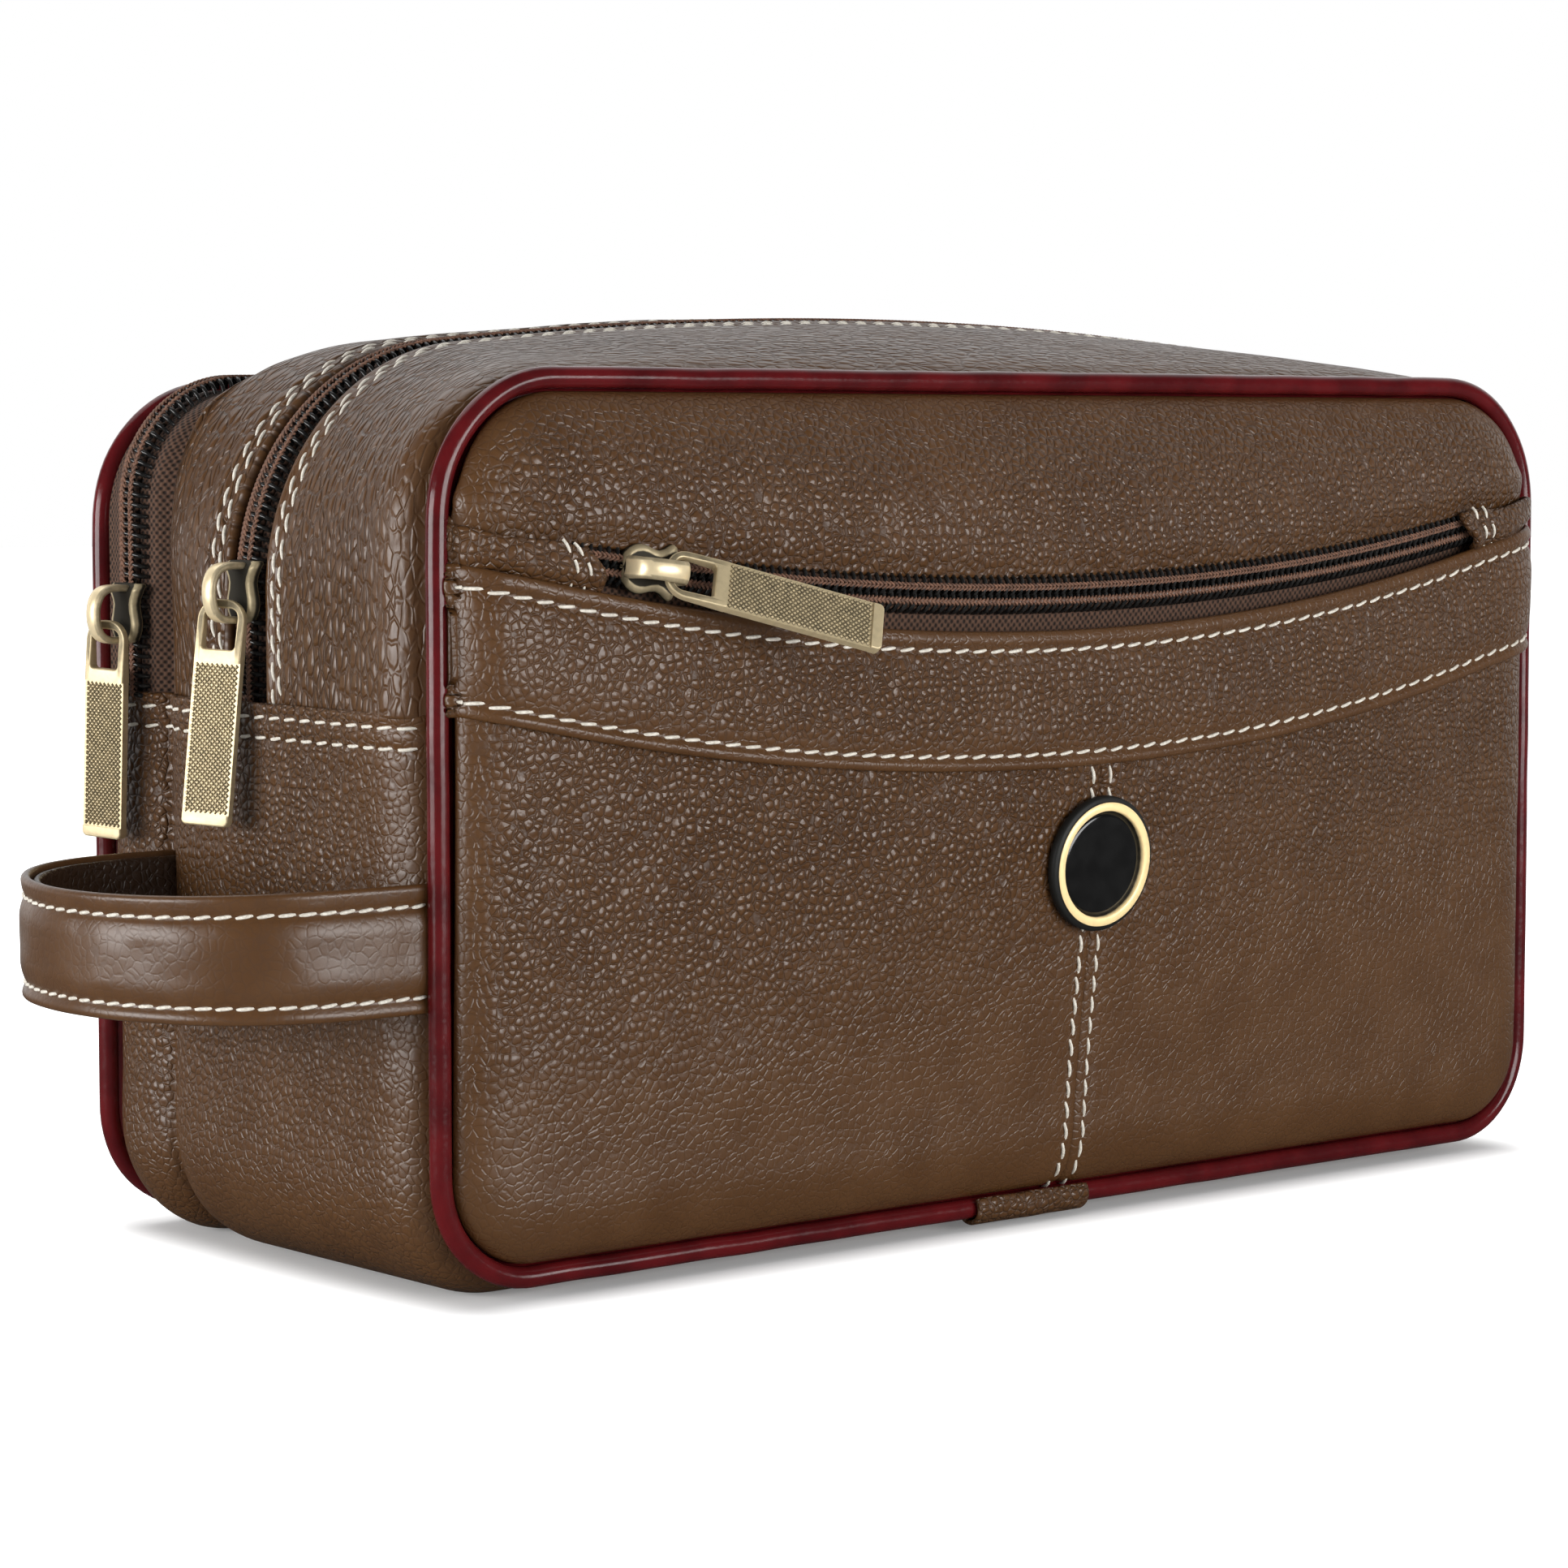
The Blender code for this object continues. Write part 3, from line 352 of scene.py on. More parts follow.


# crease and creaseTone give the colour and strength of the painted shade in the grain's creases
leatherLook = {
    "main": (0.085, 0.037, 0.0115), "deep": (0.072, 0.0305, 0.0092), "crease": (0.030, 0.012, 0.0045),
    "creaseTone": 0.5, "pebble": 690.0, "stretch": 0.44, "roughness": 0.28, "depth": 0.00048, "specular": 0.5,
    "creaseRough": 0.2, "toneRough": 0.1,
}
drawnLook = {**leatherLook, "drawn": 0.45, "pebble": 640.0, "stretch": 0.5, "depth": 0.0009}
strapLook = {**leatherLook, "pebble": 620.0, "stretch": 0.6, "depth": 0.0001}
# Painted shade: a darker copy of the hide for the strap's inner layer, which faces the bag
shadedInsideLook = {**leatherLook, "main": (0.030, 0.015, 0.008), "deep": (0.020, 0.010, 0.005), "depth": 0.0002}
pipingLook = {
    "main": (0.092, 0.0056, 0.0072), "deep": (0.052, 0.0036, 0.0048), "specular": 0.34, "smooth": 0.15,
    "dull": 0.24, "depth": 0.00014, "cloudScale": 120.0, "speckScale": 1500.0,
}
leather = hideMaterial("pebbledLeather", leatherLook)
drawnLeather = hideMaterial("drawnLeather", drawnLook)
strapLeather = hideMaterial("strapLeather", strapLook)
shadedInsideLeather = hideMaterial("strapShadedInside", shadedInsideLook)
pipingVinyl = pipingMaterial(pipingLook)
# The dark colour of each cloth is the painted shade in the weave's hollows
zipTape = clothMaterial("zipTape", (0.013, 0.007, 0.0045), (0.098, 0.051, 0.032), 1500.0, 0.00022)
liningCloth = clothMaterial("liningCloth", (0.022, 0.015, 0.010), (0.075, 0.052, 0.036), 2200.0, 0.00008)
antiqueBrass = brassMaterial("antiqueBrass", (0.66, 0.54, 0.33), (0.030, 0.025, 0.016), 0.44)
brightBrass = brassMaterial("brightBrass", (0.92, 0.76, 0.48), (0.045, 0.036, 0.022), 0.36)
ringGold = brassMaterial("ringGold", (1.0, 0.76, 0.38), (0.008, 0.008, 0.007), 0.36, 0.15)
thread = plainMaterial("waxedThread", (0.50, 0.46, 0.39), (0.70, 0.66, 0.58), 1800.0, 0.5)
darkThread = plainMaterial("brownThread", (0.08, 0.037, 0.021), (0.19, 0.090, 0.053), 1500.0, 0.7)
nylon = plainMaterial("coilNylon", (0.006, 0.006, 0.006), (0.016, 0.015, 0.014), 900.0, 0.24)
enamel = plainMaterial("blackEnamel", (0.003, 0.003, 0.003), (0.006, 0.006, 0.006), 300.0, 0.12)
washerSteel = plainMaterial("washerSteel", (0.45, 0.45, 0.45), (0.62, 0.62, 0.62), 600.0, 0.35, metallic=1.0)
boardCard = plainMaterial("boardCard", (0.26, 0.21, 0.15), (0.40, 0.34, 0.26), 500.0, 0.9)
print("materials made")


# Meshes

def gridNormals(points):
    along = np.gradient(points, axis=1)
    across = np.gradient(points, axis=0)
    return unit(np.cross(along, across))


def runs(points, axis):
    step = np.linalg.norm(np.diff(points, axis=axis), axis=-1)
    pad = [(1, 0) if a == axis else (0, 0) for a in (0, 1)]
    return np.pad(np.cumsum(step, axis=axis), pad)


def sheetData(place, us, vs, thick, relief=None, rim=4, taut=None):
    # A closed sheet on a surface: outer face, inner face and a half-round rim between them
    u, v = np.meshgrid(us, vs)
    outer = place(u, v)
    normal = gridNormals(outer)
    if relief is not None:
        outer = outer + normal * relief(u, v, outer)[..., None]
        normal = gridNormals(outer)
    depth = np.broadcast_to(np.asarray(thick(u, v) if callable(thick) else thick, float), u.shape)[..., None]
    inner = outer - normal * depth
    rows, columns = u.shape
    ids = np.arange(rows * columns).reshape(rows, columns)
    loop = np.concatenate([ids[0, :-1], ids[:-1, -1], ids[-1, :0:-1], ids[:0:-1, 0]])
    away = np.zeros_like(outer)
    away[0] -= unit(outer[1] - outer[0])
    away[-1] += unit(outer[-1] - outer[-2])
    away[:, 0] -= unit(outer[:, 1] - outer[:, 0])
    away[:, -1] += unit(outer[:, -1] - outer[:, -2])
    flatNormal, flatDepth = normal.reshape(-1, 3)[loop], depth.reshape(-1, 1)[loop]
    flatAway = away.reshape(-1, 3)[loop]
    flatAway = unit(flatAway - flatNormal * (flatAway * flatNormal).sum(-1, keepdims=True))
    middle = outer.reshape(-1, 3)[loop] - flatNormal * flatDepth / 2
    rings = []
    for step in range(1, rim):
        angle = math.pi * step / rim
        rings.append(middle + flatDepth / 2 * (flatNormal * math.cos(angle) + flatAway * math.sin(angle)))
    points = np.concatenate([outer.reshape(-1, 3), inner.reshape(-1, 3), *rings])
    count = rows * columns
    a, b, c, d = ids[:-1, :-1].ravel(), ids[:-1, 1:].ravel(), ids[1:, 1:].ravel(), ids[1:, :-1].ravel()
    faces = [np.stack([a, b, c, d], 1), np.stack([a, d, c, b], 1) + count]
    ringIds = [loop]
    for step in range(rim - 1):
        ringIds.append(2 * count + step * len(loop) + np.arange(len(loop)))
    ringIds.append(loop + count)
    for near, far in zip(ringIds, ringIds[1:]):
        faces.append(np.stack([near, far, np.roll(far, -1), np.roll(near, -1)], 1))
    chart = np.stack([runs(outer, 1), runs(outer, 0)], -1).reshape(-1, 2)
    uv = np.concatenate([chart, chart, *[chart[loop]] * (rim - 1)])
    pulled = np.zeros(count) if taut is None else np.clip(taut(outer), 0.0, 1.0).ravel()
    pulled = np.concatenate([pulled, pulled, *[pulled[loop]] * (rim - 1)])
    return {"points": points, "faces": np.concatenate(faces), "uv": uv, "us": us, "vs": vs, "outer": outer,
            "normal": normal, "taut": pulled}


def addPiece(name, parts, material, polish=None):
    # One mesh from several closed shells
    points, faces, uv, taut, start = [], [], [], [], 0
    for part in parts:
        points.append(part["points"])
        uv.append(part.get("uv", np.zeros((len(part["points"]), 2))))
        taut.append(part.get("taut", np.zeros(len(part["points"]))))
        faces += (part["faces"] + start).tolist()
        start += len(part["points"])
    points, uv = np.concatenate(points), np.concatenate(uv)
    mesh = bpy.data.meshes.new(name)
    mesh.from_pydata(points.tolist(), [], faces)
    corner = np.zeros(len(mesh.loops), np.int32)
    mesh.loops.foreach_get("vertex_index", corner)
    mesh.uv_layers.new(name="UVMap").data.foreach_set("uv", uv[corner].astype(np.float32).ravel())
    marks = {"taut": np.concatenate(taut)}
    if polish is not None:
        marks["polish"] = np.broadcast_to(polish(points), len(points))
    for label, values in marks.items():
        data = np.ascontiguousarray(values, np.float32)
        mesh.attributes.new(label, "FLOAT", "POINT").data.foreach_set("value", data)
    return linkPiece(name, mesh, material)


def linkPiece(name, mesh, material):
    mesh.materials.clear()
    mesh.materials.append(material)
    mesh.shade_smooth()
    piece = bpy.data.objects.new(name, mesh)
    bpy.context.scene.collection.objects.link(piece)
    return piece


def dress(piece, body, slot, *nodes):
    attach(piece, body)
    if nodes:
        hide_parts(*nodes)


def rowAlongU(sheet, v, low=0.0, high=1.0, count=400, lift=0.0):
    # Points and outward directions along a row of a sheet
    us = np.linspace(low, high, count)
    spot = np.interp(v, sheet["vs"], np.arange(len(sheet["vs"])))
    return pickRow(sheet["outer"], sheet["normal"], spot, sheet["us"], us, lift)


def rowAlongV(sheet, u, low=0.0, high=1.0, count=200, lift=0.0):
    vs = np.linspace(low, high, count)
    spot = np.interp(u, sheet["us"], np.arange(len(sheet["us"])))
    return pickRow(sheet["outer"].swapaxes(0, 1), sheet["normal"].swapaxes(0, 1), spot, sheet["vs"], vs, lift)


def pickRow(points, normals, spot, shares, wanted, lift):
    below = min(int(spot), len(points) - 2)
    part = spot - below
    line = lerp(points[below], points[below + 1], part)
    out = lerp(normals[below], normals[below + 1], part)
    line = np.stack([np.interp(wanted, shares, line[:, k]) for k in range(3)], -1)
    out = unit(np.stack([np.interp(wanted, shares, out[:, k]) for k in range(3)], -1))
    return line + out * lift, out


# Geometry Nodes for what repeats along a line

def newTree(name, numbers):
    tree = bpy.data.node_groups.new(name, "GeometryNodeTree")
    tree.interface.new_socket("Geometry", in_out="INPUT", socket_type="NodeSocketGeometry")
    for label, default in numbers.items():
        kind = "NodeSocketInt" if isinstance(default, int) else "NodeSocketFloat"
        tree.interface.new_socket(label, in_out="INPUT", socket_type=kind).default_value = default
    tree.interface.new_socket("Material", in_out="INPUT", socket_type="NodeSocketMaterial")
    tree.interface.new_socket("Geometry", in_out="OUTPUT", socket_type="NodeSocketGeometry")
    return tree, nodeAdder(tree)


def endTree(add, geometry, material):
    real = add("GeometryNodeRealizeInstances", {"Geometry": geometry}).outputs[0]
    shown = add("GeometryNodeSetMaterial", {"Geometry": real, "Material": material}).outputs[0]
    add("NodeGroupOutput", {"Geometry": shown})


def sweptWire(add, line, thickness):
    # A closed six-sided wire along a line
    radius = mathAdder(add)("MULTIPLY", thickness, 0.5)
    ring = add("GeometryNodeCurvePrimitiveCircle", {"Resolution": 6, "Radius": radius}).outputs[0]
    swept = {"Curve": line, "Profile Curve": ring, "Fill Caps": True}
    return add("GeometryNodeCurveToMesh", swept).outputs[0]


def pointsOnLine(add, given):
    # Evenly stepped places on each line, turned along it with Z outward
    curve = add("GeometryNodeMeshToCurve", {"Mesh": given["Geometry"]}).outputs[0]
    stepped = {"Curve": curve, "Length": given["Pitch"]}
    even = add("GeometryNodeResampleCurve", stepped, mode="LENGTH").outputs[0]
    outward = add("GeometryNodeInputNamedAttribute", {"Name": "outward"}, data_type="FLOAT_VECTOR").outputs[0]
    tangent = add("GeometryNodeInputTangent").outputs[0]
    axes = {"Primary Axis": tangent, "Secondary Axis": outward}
    turn = add("FunctionNodeAxesToRotation", axes, primary_axis="X", secondary_axis="Z").outputs[0]
    return even, turn


# What a stitch, a turn of a coil and a knurled field are unless a piece says otherwise
stitchForm = {"Pitch": 4.4 * mm, "Length": 3.4 * mm, "Thickness": 0.62 * mm, "Sink": 0.3 * mm, "Slant": 0.16,
              "Unevenness": 0.05, "Seed": 3}
coilForm = {"Pitch": 1.65 * mm, "Reach": 2.9 * mm, "Overlap": 0.5 * mm, "Height": 1.9 * mm, "Wire": 0.78 * mm,
            "Lean": 0.45 * mm}
knurlForm = {"Half Width": 3.4 * mm, "Half Length": 10.0 * mm, "Pitch": 0.62 * mm, "Height": 0.32 * mm}


def stitchTree():
    # A slightly arched stitch at each place, slanted by a little more or less
    tree, add = newTree("threadStitches", stitchForm)
    given = add("NodeGroupInput").outputs
    calc = mathAdder(add)
    even, turn = pointsOnLine(add, given)
    half = calc("MULTIPLY", given["Length"], 0.5)
    drop = calc("MULTIPLY", given["Sink"], -1.0)
    start = add("ShaderNodeCombineXYZ", {"X": calc("MULTIPLY", half, -1.0), "Z": drop}).outputs[0]
    end = add("ShaderNodeCombineXYZ", {"X": half, "Z": drop}).outputs[0]
    crown = add("ShaderNodeCombineXYZ", {"Z": given["Thickness"]}).outputs[0]
    arc = {"Resolution": 7, "Start": start, "Middle": crown, "End": end}
    line = add("GeometryNodeCurveQuadraticBezier", arc).outputs[0]
    shape = sweptWire(add, line, given["Thickness"])
    low = calc("SUBTRACT", given["Slant"], given["Unevenness"])
    high = calc("ADD", given["Slant"], given["Unevenness"])
    chance = add("FunctionNodeRandomValue", data_type="FLOAT")
    for key, value in (("Min", low), ("Max", high)):
        tree.links.new(value, next(s for s in chance.inputs if s.name == key and s.type == "VALUE"))
    tree.links.new(given["Seed"], chance.inputs["Seed"])
    yaw = next(s for s in chance.outputs if s.type == "VALUE")
    turned = add("ShaderNodeCombineXYZ", {"Z": yaw}).outputs[0]
    spin = add("FunctionNodeEulerToRotation", {0: turned}).outputs[0]
    slanted = add("FunctionNodeRotateRotation", {0: turn, 1: spin}, rotation_space="LOCAL").outputs[0]
    placed = {"Points": even, "Instance": shape, "Rotation": slanted}
    endTree(add, add("GeometryNodeInstanceOnPoints", placed).outputs[0], given["Material"])
    return tree


def coilTree():
    # One half of a coil chain: bent wires that reach from the middle out to the tape
    tree, add = newTree("coilChain", coilForm)
    given = add("NodeGroupInput").outputs
    calc = mathAdder(add)
    even, turn = pointsOnLine(add, given)
    near, rise = calc("MULTIPLY", given["Overlap"], -1.0), calc("MULTIPLY", given["Height"], 1.25)
    lean, reach = given["Lean"], given["Reach"]
    corners = {
        "Start": {"X": calc("MULTIPLY", lean, -1.0), "Y": near, "Z": 0.6 * mm},
        "Start Handle": {"X": calc("MULTIPLY", lean, -0.8), "Y": near, "Z": rise},
        "End Handle": {"X": lean, "Y": reach, "Z": rise},
        "End": {"X": lean, "Y": reach},
    }
    ends = {key: add("ShaderNodeCombineXYZ", sides).outputs[0] for key, sides in corners.items()}
    ends["Resolution"] = 8
    wire = add("GeometryNodeCurvePrimitiveBezierSegment", ends, mode="POSITION").outputs[0]
    shape = sweptWire(add, wire, given["Wire"])
    placed = {"Points": even, "Instance": shape, "Rotation": turn}
    endTree(add, add("GeometryNodeInstanceOnPoints", placed).outputs[0], given["Material"])
    return tree


def knurlTree():
    # Diamond points over an oblong field, brighter towards their tips
    tree, add = newTree("knurledField", knurlForm)
    given = add("NodeGroupInput").outputs
    calc = mathAdder(add)
    side = calc("MULTIPLY", given["Half Length"], 3.0)
    number = calc("DIVIDE", side, given["Pitch"])
    mesh = {"Size X": side, "Size Y": side, "Vertices X": number, "Vertices Y": number}
    grid = add("GeometryNodeMeshGrid", mesh).outputs[0]
    turned = add("GeometryNodeTransform", {"Geometry": grid, "Rotation": (0, 0, math.pi / 4)}).outputs[0]
    spot = add("ShaderNodeSeparateXYZ", {0: add("GeometryNodeInputPosition").outputs[0]}).outputs
    wide = calc("GREATER_THAN", calc("ABSOLUTE", spot["X"]), given["Half Width"])
    long = calc("GREATER_THAN", calc("ABSOLUTE", spot["Y"]), given["Half Length"])
    past = calc("GREATER_THAN", calc("ADD", wide, long), 0.5)
    field = add("GeometryNodeDeleteGeometry", {"Geometry": turned, "Selection": past}).outputs[0]
    base = calc("MULTIPLY", given["Pitch"], 0.68)
    tip = calc("MULTIPLY", given["Pitch"], 0.22)
    cone = {"Vertices": 4, "Radius Top": tip, "Radius Bottom": base, "Depth": given["Height"]}
    point = add("GeometryNodeMeshCone", cone).outputs[0]
    share = calc("DIVIDE", spot["Z"], given["Height"])
    bright = add("GeometryNodeStoreNamedAttribute", {"Geometry": point, "Name": "polish"}, data_type="FLOAT")
    tree.links.new(calc("ADD", calc("MULTIPLY", share, 0.85), 0.05),
                   next(s for s in bright.inputs if s.name == "Value" and s.type == "VALUE"))
    placed = {"Points": field, "Instance": bright.outputs[0]}
    endTree(add, add("GeometryNodeInstanceOnPoints", placed).outputs[0], given["Material"])
    return tree


stitches = stitchTree()
coilChain = coilTree()
knurledField = knurlTree()


def grow(name, mesh, tree, values, material):
    # Runs a tree on a mesh and keeps the result as a plain mesh
    holder = bpy.data.objects.new(name + ".lines", mesh)
    bpy.context.scene.collection.objects.link(holder)
    modifier = holder.modifiers.new(tree.name, "NODES")
    modifier.node_group = tree
    for item in tree.interface.items_tree:
        if item.in_out == "INPUT" and item.name in values:
            modifier[item.identifier] = values[item.name]
        if item.in_out == "INPUT" and item.name == "Material":
            modifier[item.identifier] = material
    graph = bpy.context.evaluated_depsgraph_get()
    result = bpy.data.meshes.new_from_object(holder.evaluated_get(graph))
    holder.modifiers.clear()
    bpy.data.objects.remove(holder)
    result.name = name
    return result


def lineMesh(name, lines):
    # Lines as edges, each point carrying its outward direction
    points, edges, out, start = [], [], [], 0
    for line, outward in lines:
        points.append(line)
        out.append(outward)
        edges += [(start + k, start + k + 1) for k in range(len(line) - 1)]
        start += len(line)
    mesh = bpy.data.meshes.new(name)
    mesh.from_pydata(np.concatenate(points).tolist(), edges, [])
    data = np.concatenate(out).astype(np.float32).ravel()
    mesh.attributes.new("outward", "FLOAT_VECTOR", "POINT").data.foreach_set("vector", data)
    return mesh


def sew(name, lines, slot="leather", material=thread, **values):
    mesh = grow(name, lineMesh(name, lines), stitches, values, material)
    dress(linkPiece(name, mesh, material), "bag", slot)


# The bag's outline and the paths that its gussets follow

pipeLow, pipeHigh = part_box("piping_front")
pipeRadius = (pipeHigh.y - pipeLow.y) / 2
bag = {
    "halfLength": pipeHigh.x - pipeRadius, "halfDepth": -(pipeLow.y + pipeHigh.y) / 2,
    "low": pipeLow.z + pipeRadius, "top": pipeHigh.z - pipeRadius,
    "topCorner": 22 * mm, "lowCorner": 17 * mm, "seamInset": 2.1 * mm, "leather": 1.2 * mm,
    "frontSeam": -45.9 * mm, "crease": 26.5 * mm, "backSeam": 45.9 * mm,
    "zipMiddle": 0.7 * mm, "zipWindow": 12.5 * mm, "zipFoot": 92 * mm, "gap": 0.3 * mm,
    "backTop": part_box("piping_back")[1].z - pipeRadius,
}
# Shares of a gusset at which its straight end and then its corner are over
endShare, cornerShare = 2 / 26, 7 / 26


def archPath(end, spring, radius, turn, rise, foot):
    # Up the left end, round the corner, over a crowned top and down the right end
    hub = end - radius
    crownX = hub + radius * math.cos(turn)
    crownZ = spring + radius * math.sin(turn)

    def station(share):
        side = np.where(share < 0.5, -1.0, 1.0)
        part = np.minimum(share, 1.0 - share)
        angle = turn * np.clip((part - endShare) / (cornerShare - endShare), 0, 1)
        reach = np.clip((0.5 - part) / (0.5 - cornerShare), 0, 1)
        onEnd, onCorner = part < endShare, part < cornerShare
        x = np.where(onCorner, hub + radius * np.cos(angle), crownX * reach)
        overTop = crownZ + rise * (1.0 - reach ** 2)
        z = np.where(onCorner, spring + radius * np.sin(angle), overTop)
        z = np.where(onEnd, lerp(foot, spring, part / endShare), z)
        normalX = np.where(onCorner, np.cos(angle), 2.0 * rise * reach / crownX)
        normalZ = np.where(onCorner, np.sin(angle), 1.0)
        return xyz(side * x, 0.0, z), unit(xyz(side * normalX, 0.0, normalZ))

    return station


def cradlePath(end, base, radius):
    # Down the left end, along the base and up the right end
    hub = end - radius

    def station(share):
        side = np.where(share < 0.5, -1.0, 1.0)
        part = np.minimum(share, 1.0 - share)
        angle = math.pi / 2 * np.clip((part - endShare) / (cornerShare - endShare), 0, 1)
        reach = np.clip((0.5 - part) / (0.5 - cornerShare), 0, 1)
        x = np.where(part < cornerShare, hub + radius * np.cos(angle), hub * reach)
        z = base + radius - radius * np.sin(angle)
        z = np.where(part < endShare, lerp(bag["zipFoot"], base + radius, part / endShare), z)
        return xyz(side * x, 0.0, z)

    return station


stripFoot = bag["zipFoot"] + bag["gap"]


def archForm(end, spring, radius, degrees, rise):
    return {"end": end * mm, "spring": spring * mm, "radius": radius * mm, "turn": math.radians(degrees),
            "rise": rise * mm}


def seamPath(top):
    corner = bag["topCorner"]
    return archPath(bag["halfLength"], top - corner, corner, math.pi / 2, 0.0, stripFoot)


mainZip = archForm(128, 110, 40, 84, 4.8)
backZip = archForm(126.6, 123.6, 19, 89, 0.6)
creaseLine = archForm(125.5, 122.5, 24, 87, 2.7)
seamArch, backSeamArch = seamPath(bag["top"]), seamPath(bag["backTop"])
mainArch = archPath(**mainZip, foot=stripFoot)
tapeArch = archPath(**mainZip, foot=bag["zipFoot"] - 8 * mm)
creaseArch = archPath(**creaseLine, foot=stripFoot)
backArch = archPath(**backZip, foot=stripFoot)
seamCradle = cradlePath(bag["halfLength"] - 1.5 * mm, bag["low"] + 1 * mm, bag["lowCorner"])
mainCradle = cradlePath(129.5 * mm, 0.0, 19.5 * mm)
creaseCradle = cradlePath(125.5 * mm, 3.5 * mm, bag["lowCorner"])
backCradle = cradlePath(128 * mm, 0.0, 18.5 * mm)


def slackRelief(points, edge, seed, soft=0.40 * mm, pucker=0.22 * mm):
    # Hand-worn unevenness: broad waves, and small puckers that fade away from a sewn edge
    waves = soft * swell(points, 34 * mm, seed) + 0.35 * soft * swell(points, 13 * mm, seed + 1)
    puckers = pucker * swell(points, 5.5 * mm, seed + 2) * np.exp(-edge / (5 * mm))
    return (waves + puckers) * ease(edge / (3 * mm))


# Front panels, welt band and pocket tabs

pocket = {
    "radius": 560 * mm, "middle": -8 * mm, "lean": math.radians(30), "height": 108.7 * mm, "reach": 108 * mm,
    "edgeCrown": 5 * mm, "midCrown": 6.8 * mm, "roll": 11 * mm, "mouthEnd": 4.3 * mm, "mouthGain": 2.4 * mm,
    "mouthTop": 2.9 * mm, "welt": 22 * mm, "tapeDrop": 1.5 * mm, "ends": 124.5 * mm,
    "upperLeft": -124.2 * mm, "upperRight": 123.7 * mm,
}
# How the upper panel's edge closes in on the zip at each end, and where the front is stretched smooth
mouth = {"leftFrom": 98 * mm, "leftRun": 14 * mm, "leftDrop": 1.3 * mm,
         "rightFrom": 100 * mm, "rightRun": 18 * mm, "rightDrop": 1.9 * mm}
frontStretch = {"edge": 5 * mm, "most": 0.95, "below": 76 * mm, "run": 48 * mm, "tilt": 0.1}
frontStitch = {"weltTop": 2.7 * mm, "weltLow": 1.9 * mm, "seamX": 4.2 * mm, "seamOut": 2.05 * mm,
               "pitch": 3.95 * mm, "length": 3.15 * mm}


def zipHeight(x):
    along = x - pocket["middle"]
    drop = pocket["radius"] - np.sqrt(pocket["radius"] ** 2 - along ** 2)
    return pocket["height"] + drop * math.cos(pocket["lean"])


def edgeDistance(x, z, top=bag["top"]):
    # Distance in from a panel's outline, which runs beside the piping
    inset = bag["seamInset"]
    half, low, top = bag["halfLength"] - inset, bag["low"] + inset, top - inset
    radius = np.where(z > (low + top) / 2, bag["topCorner"], bag["lowCorner"]) - inset
    across = np.abs(x) - (half - radius)
    upright = np.abs(z - (low + top) / 2) - ((top - low) / 2 - radius)
    outside = np.hypot(np.maximum(across, 0.0), np.maximum(upright, 0.0))
    return radius - outside - np.minimum(np.maximum(across, upright), 0.0)


def rolledEdge(x, z, width, top=bag["top"]):
    # 0 at the piping, turning up to 1 where the panel is flat
    return quarter(np.clip(edgeDistance(x, z, top) / width, 0.0, 1.0))


def bareFront(x, z):
    # A rolled edge at the piping and a crown about the zip
    zipZ = zipHeight(x)
    below = (z - bag["low"]) / (zipZ - bag["low"]) / 0.78
    above = (bag["top"] - z) / (bag["top"] - zipZ) / 0.68
    share = np.where(z < zipZ, below, above)
    roll = rolledEdge(x, z, pocket["roll"])
    along = (x - pocket["middle"]) / (bag["halfLength"] - pocket["middle"])
    crown = pocket["midCrown"] * (1.0 - along ** 2) * ease(share)
    return xyz(x, -bag["halfDepth"] - pocket["edgeCrown"] * roll - crown, z)


def frontFace(x, z, lift=0.0):
    step = 0.5 * mm
    along = bareFront(x + step, z) - bareFront(x - step, z)
    up = bareFront(x, z + step) - bareFront(x, z - step)
    return bareFront(x, z) + unit(np.cross(along, up)) * np.asarray(lift)[..., None]


def outlineLow(x):
    radius = bag["lowCorner"] - bag["seamInset"]
    past = np.maximum(0.0, np.abs(x) - (bag["halfLength"] - bag["lowCorner"]))
    return bag["low"] + bag["lowCorner"] - np.sqrt(np.maximum(0.0, radius ** 2 - past ** 2))


def outlineTop(x, top=bag["top"]):
    radius = bag["topCorner"] - bag["seamInset"]
    past = np.maximum(0.0, np.abs(x) - (bag["halfLength"] - bag["topCorner"]))
    return top - bag["topCorner"] + np.sqrt(np.maximum(0.0, radius ** 2 - past ** 2))


def weltTop(x):
    reach = (x - pocket["middle"]) / (bag["halfLength"] - 11 * mm)
    return zipHeight(x) - pocket["mouthEnd"] - pocket["mouthGain"] * np.maximum(0.0, 1.0 - reach ** 2)


def mouthEdge(x):
    # The upper panel's edge, which closes in on the zip at both ends
    left = ease((-x - mouth["leftFrom"]) / mouth["leftRun"])
    right = ease((x - mouth["rightFrom"]) / mouth["rightRun"])
    return zipHeight(x) + pocket["mouthTop"] - mouth["leftDrop"] * left - mouth["rightDrop"] * right


def endLift(x):
    # 1 along the front, falling to 0 at the piping, later on the right
    return ease((x + pocket["ends"]) / (6 * mm)) * ease((pocket["ends"] - x) / (3 * mm))


def frontTaut(points):
    # Stretched smooth along the piping and low on the front
    x, z = points[..., 0], points[..., 2]
    below = frontStretch["below"] - z + frontStretch["tilt"] * x
    low = frontStretch["most"] * ease(below / frontStretch["run"])
    return np.maximum(np.exp(-np.maximum(0.0, edgeDistance(x, z)) / frontStretch["edge"]), low)


def rolledStops(count, span, width):
    # Even shares along a span, with closer ones over the rolled edge at its start
    roll = width / span * np.linspace(0, 1, 22) ** 2
    return np.unique(np.concatenate([roll, np.linspace(roll[-1], 1, count)]))


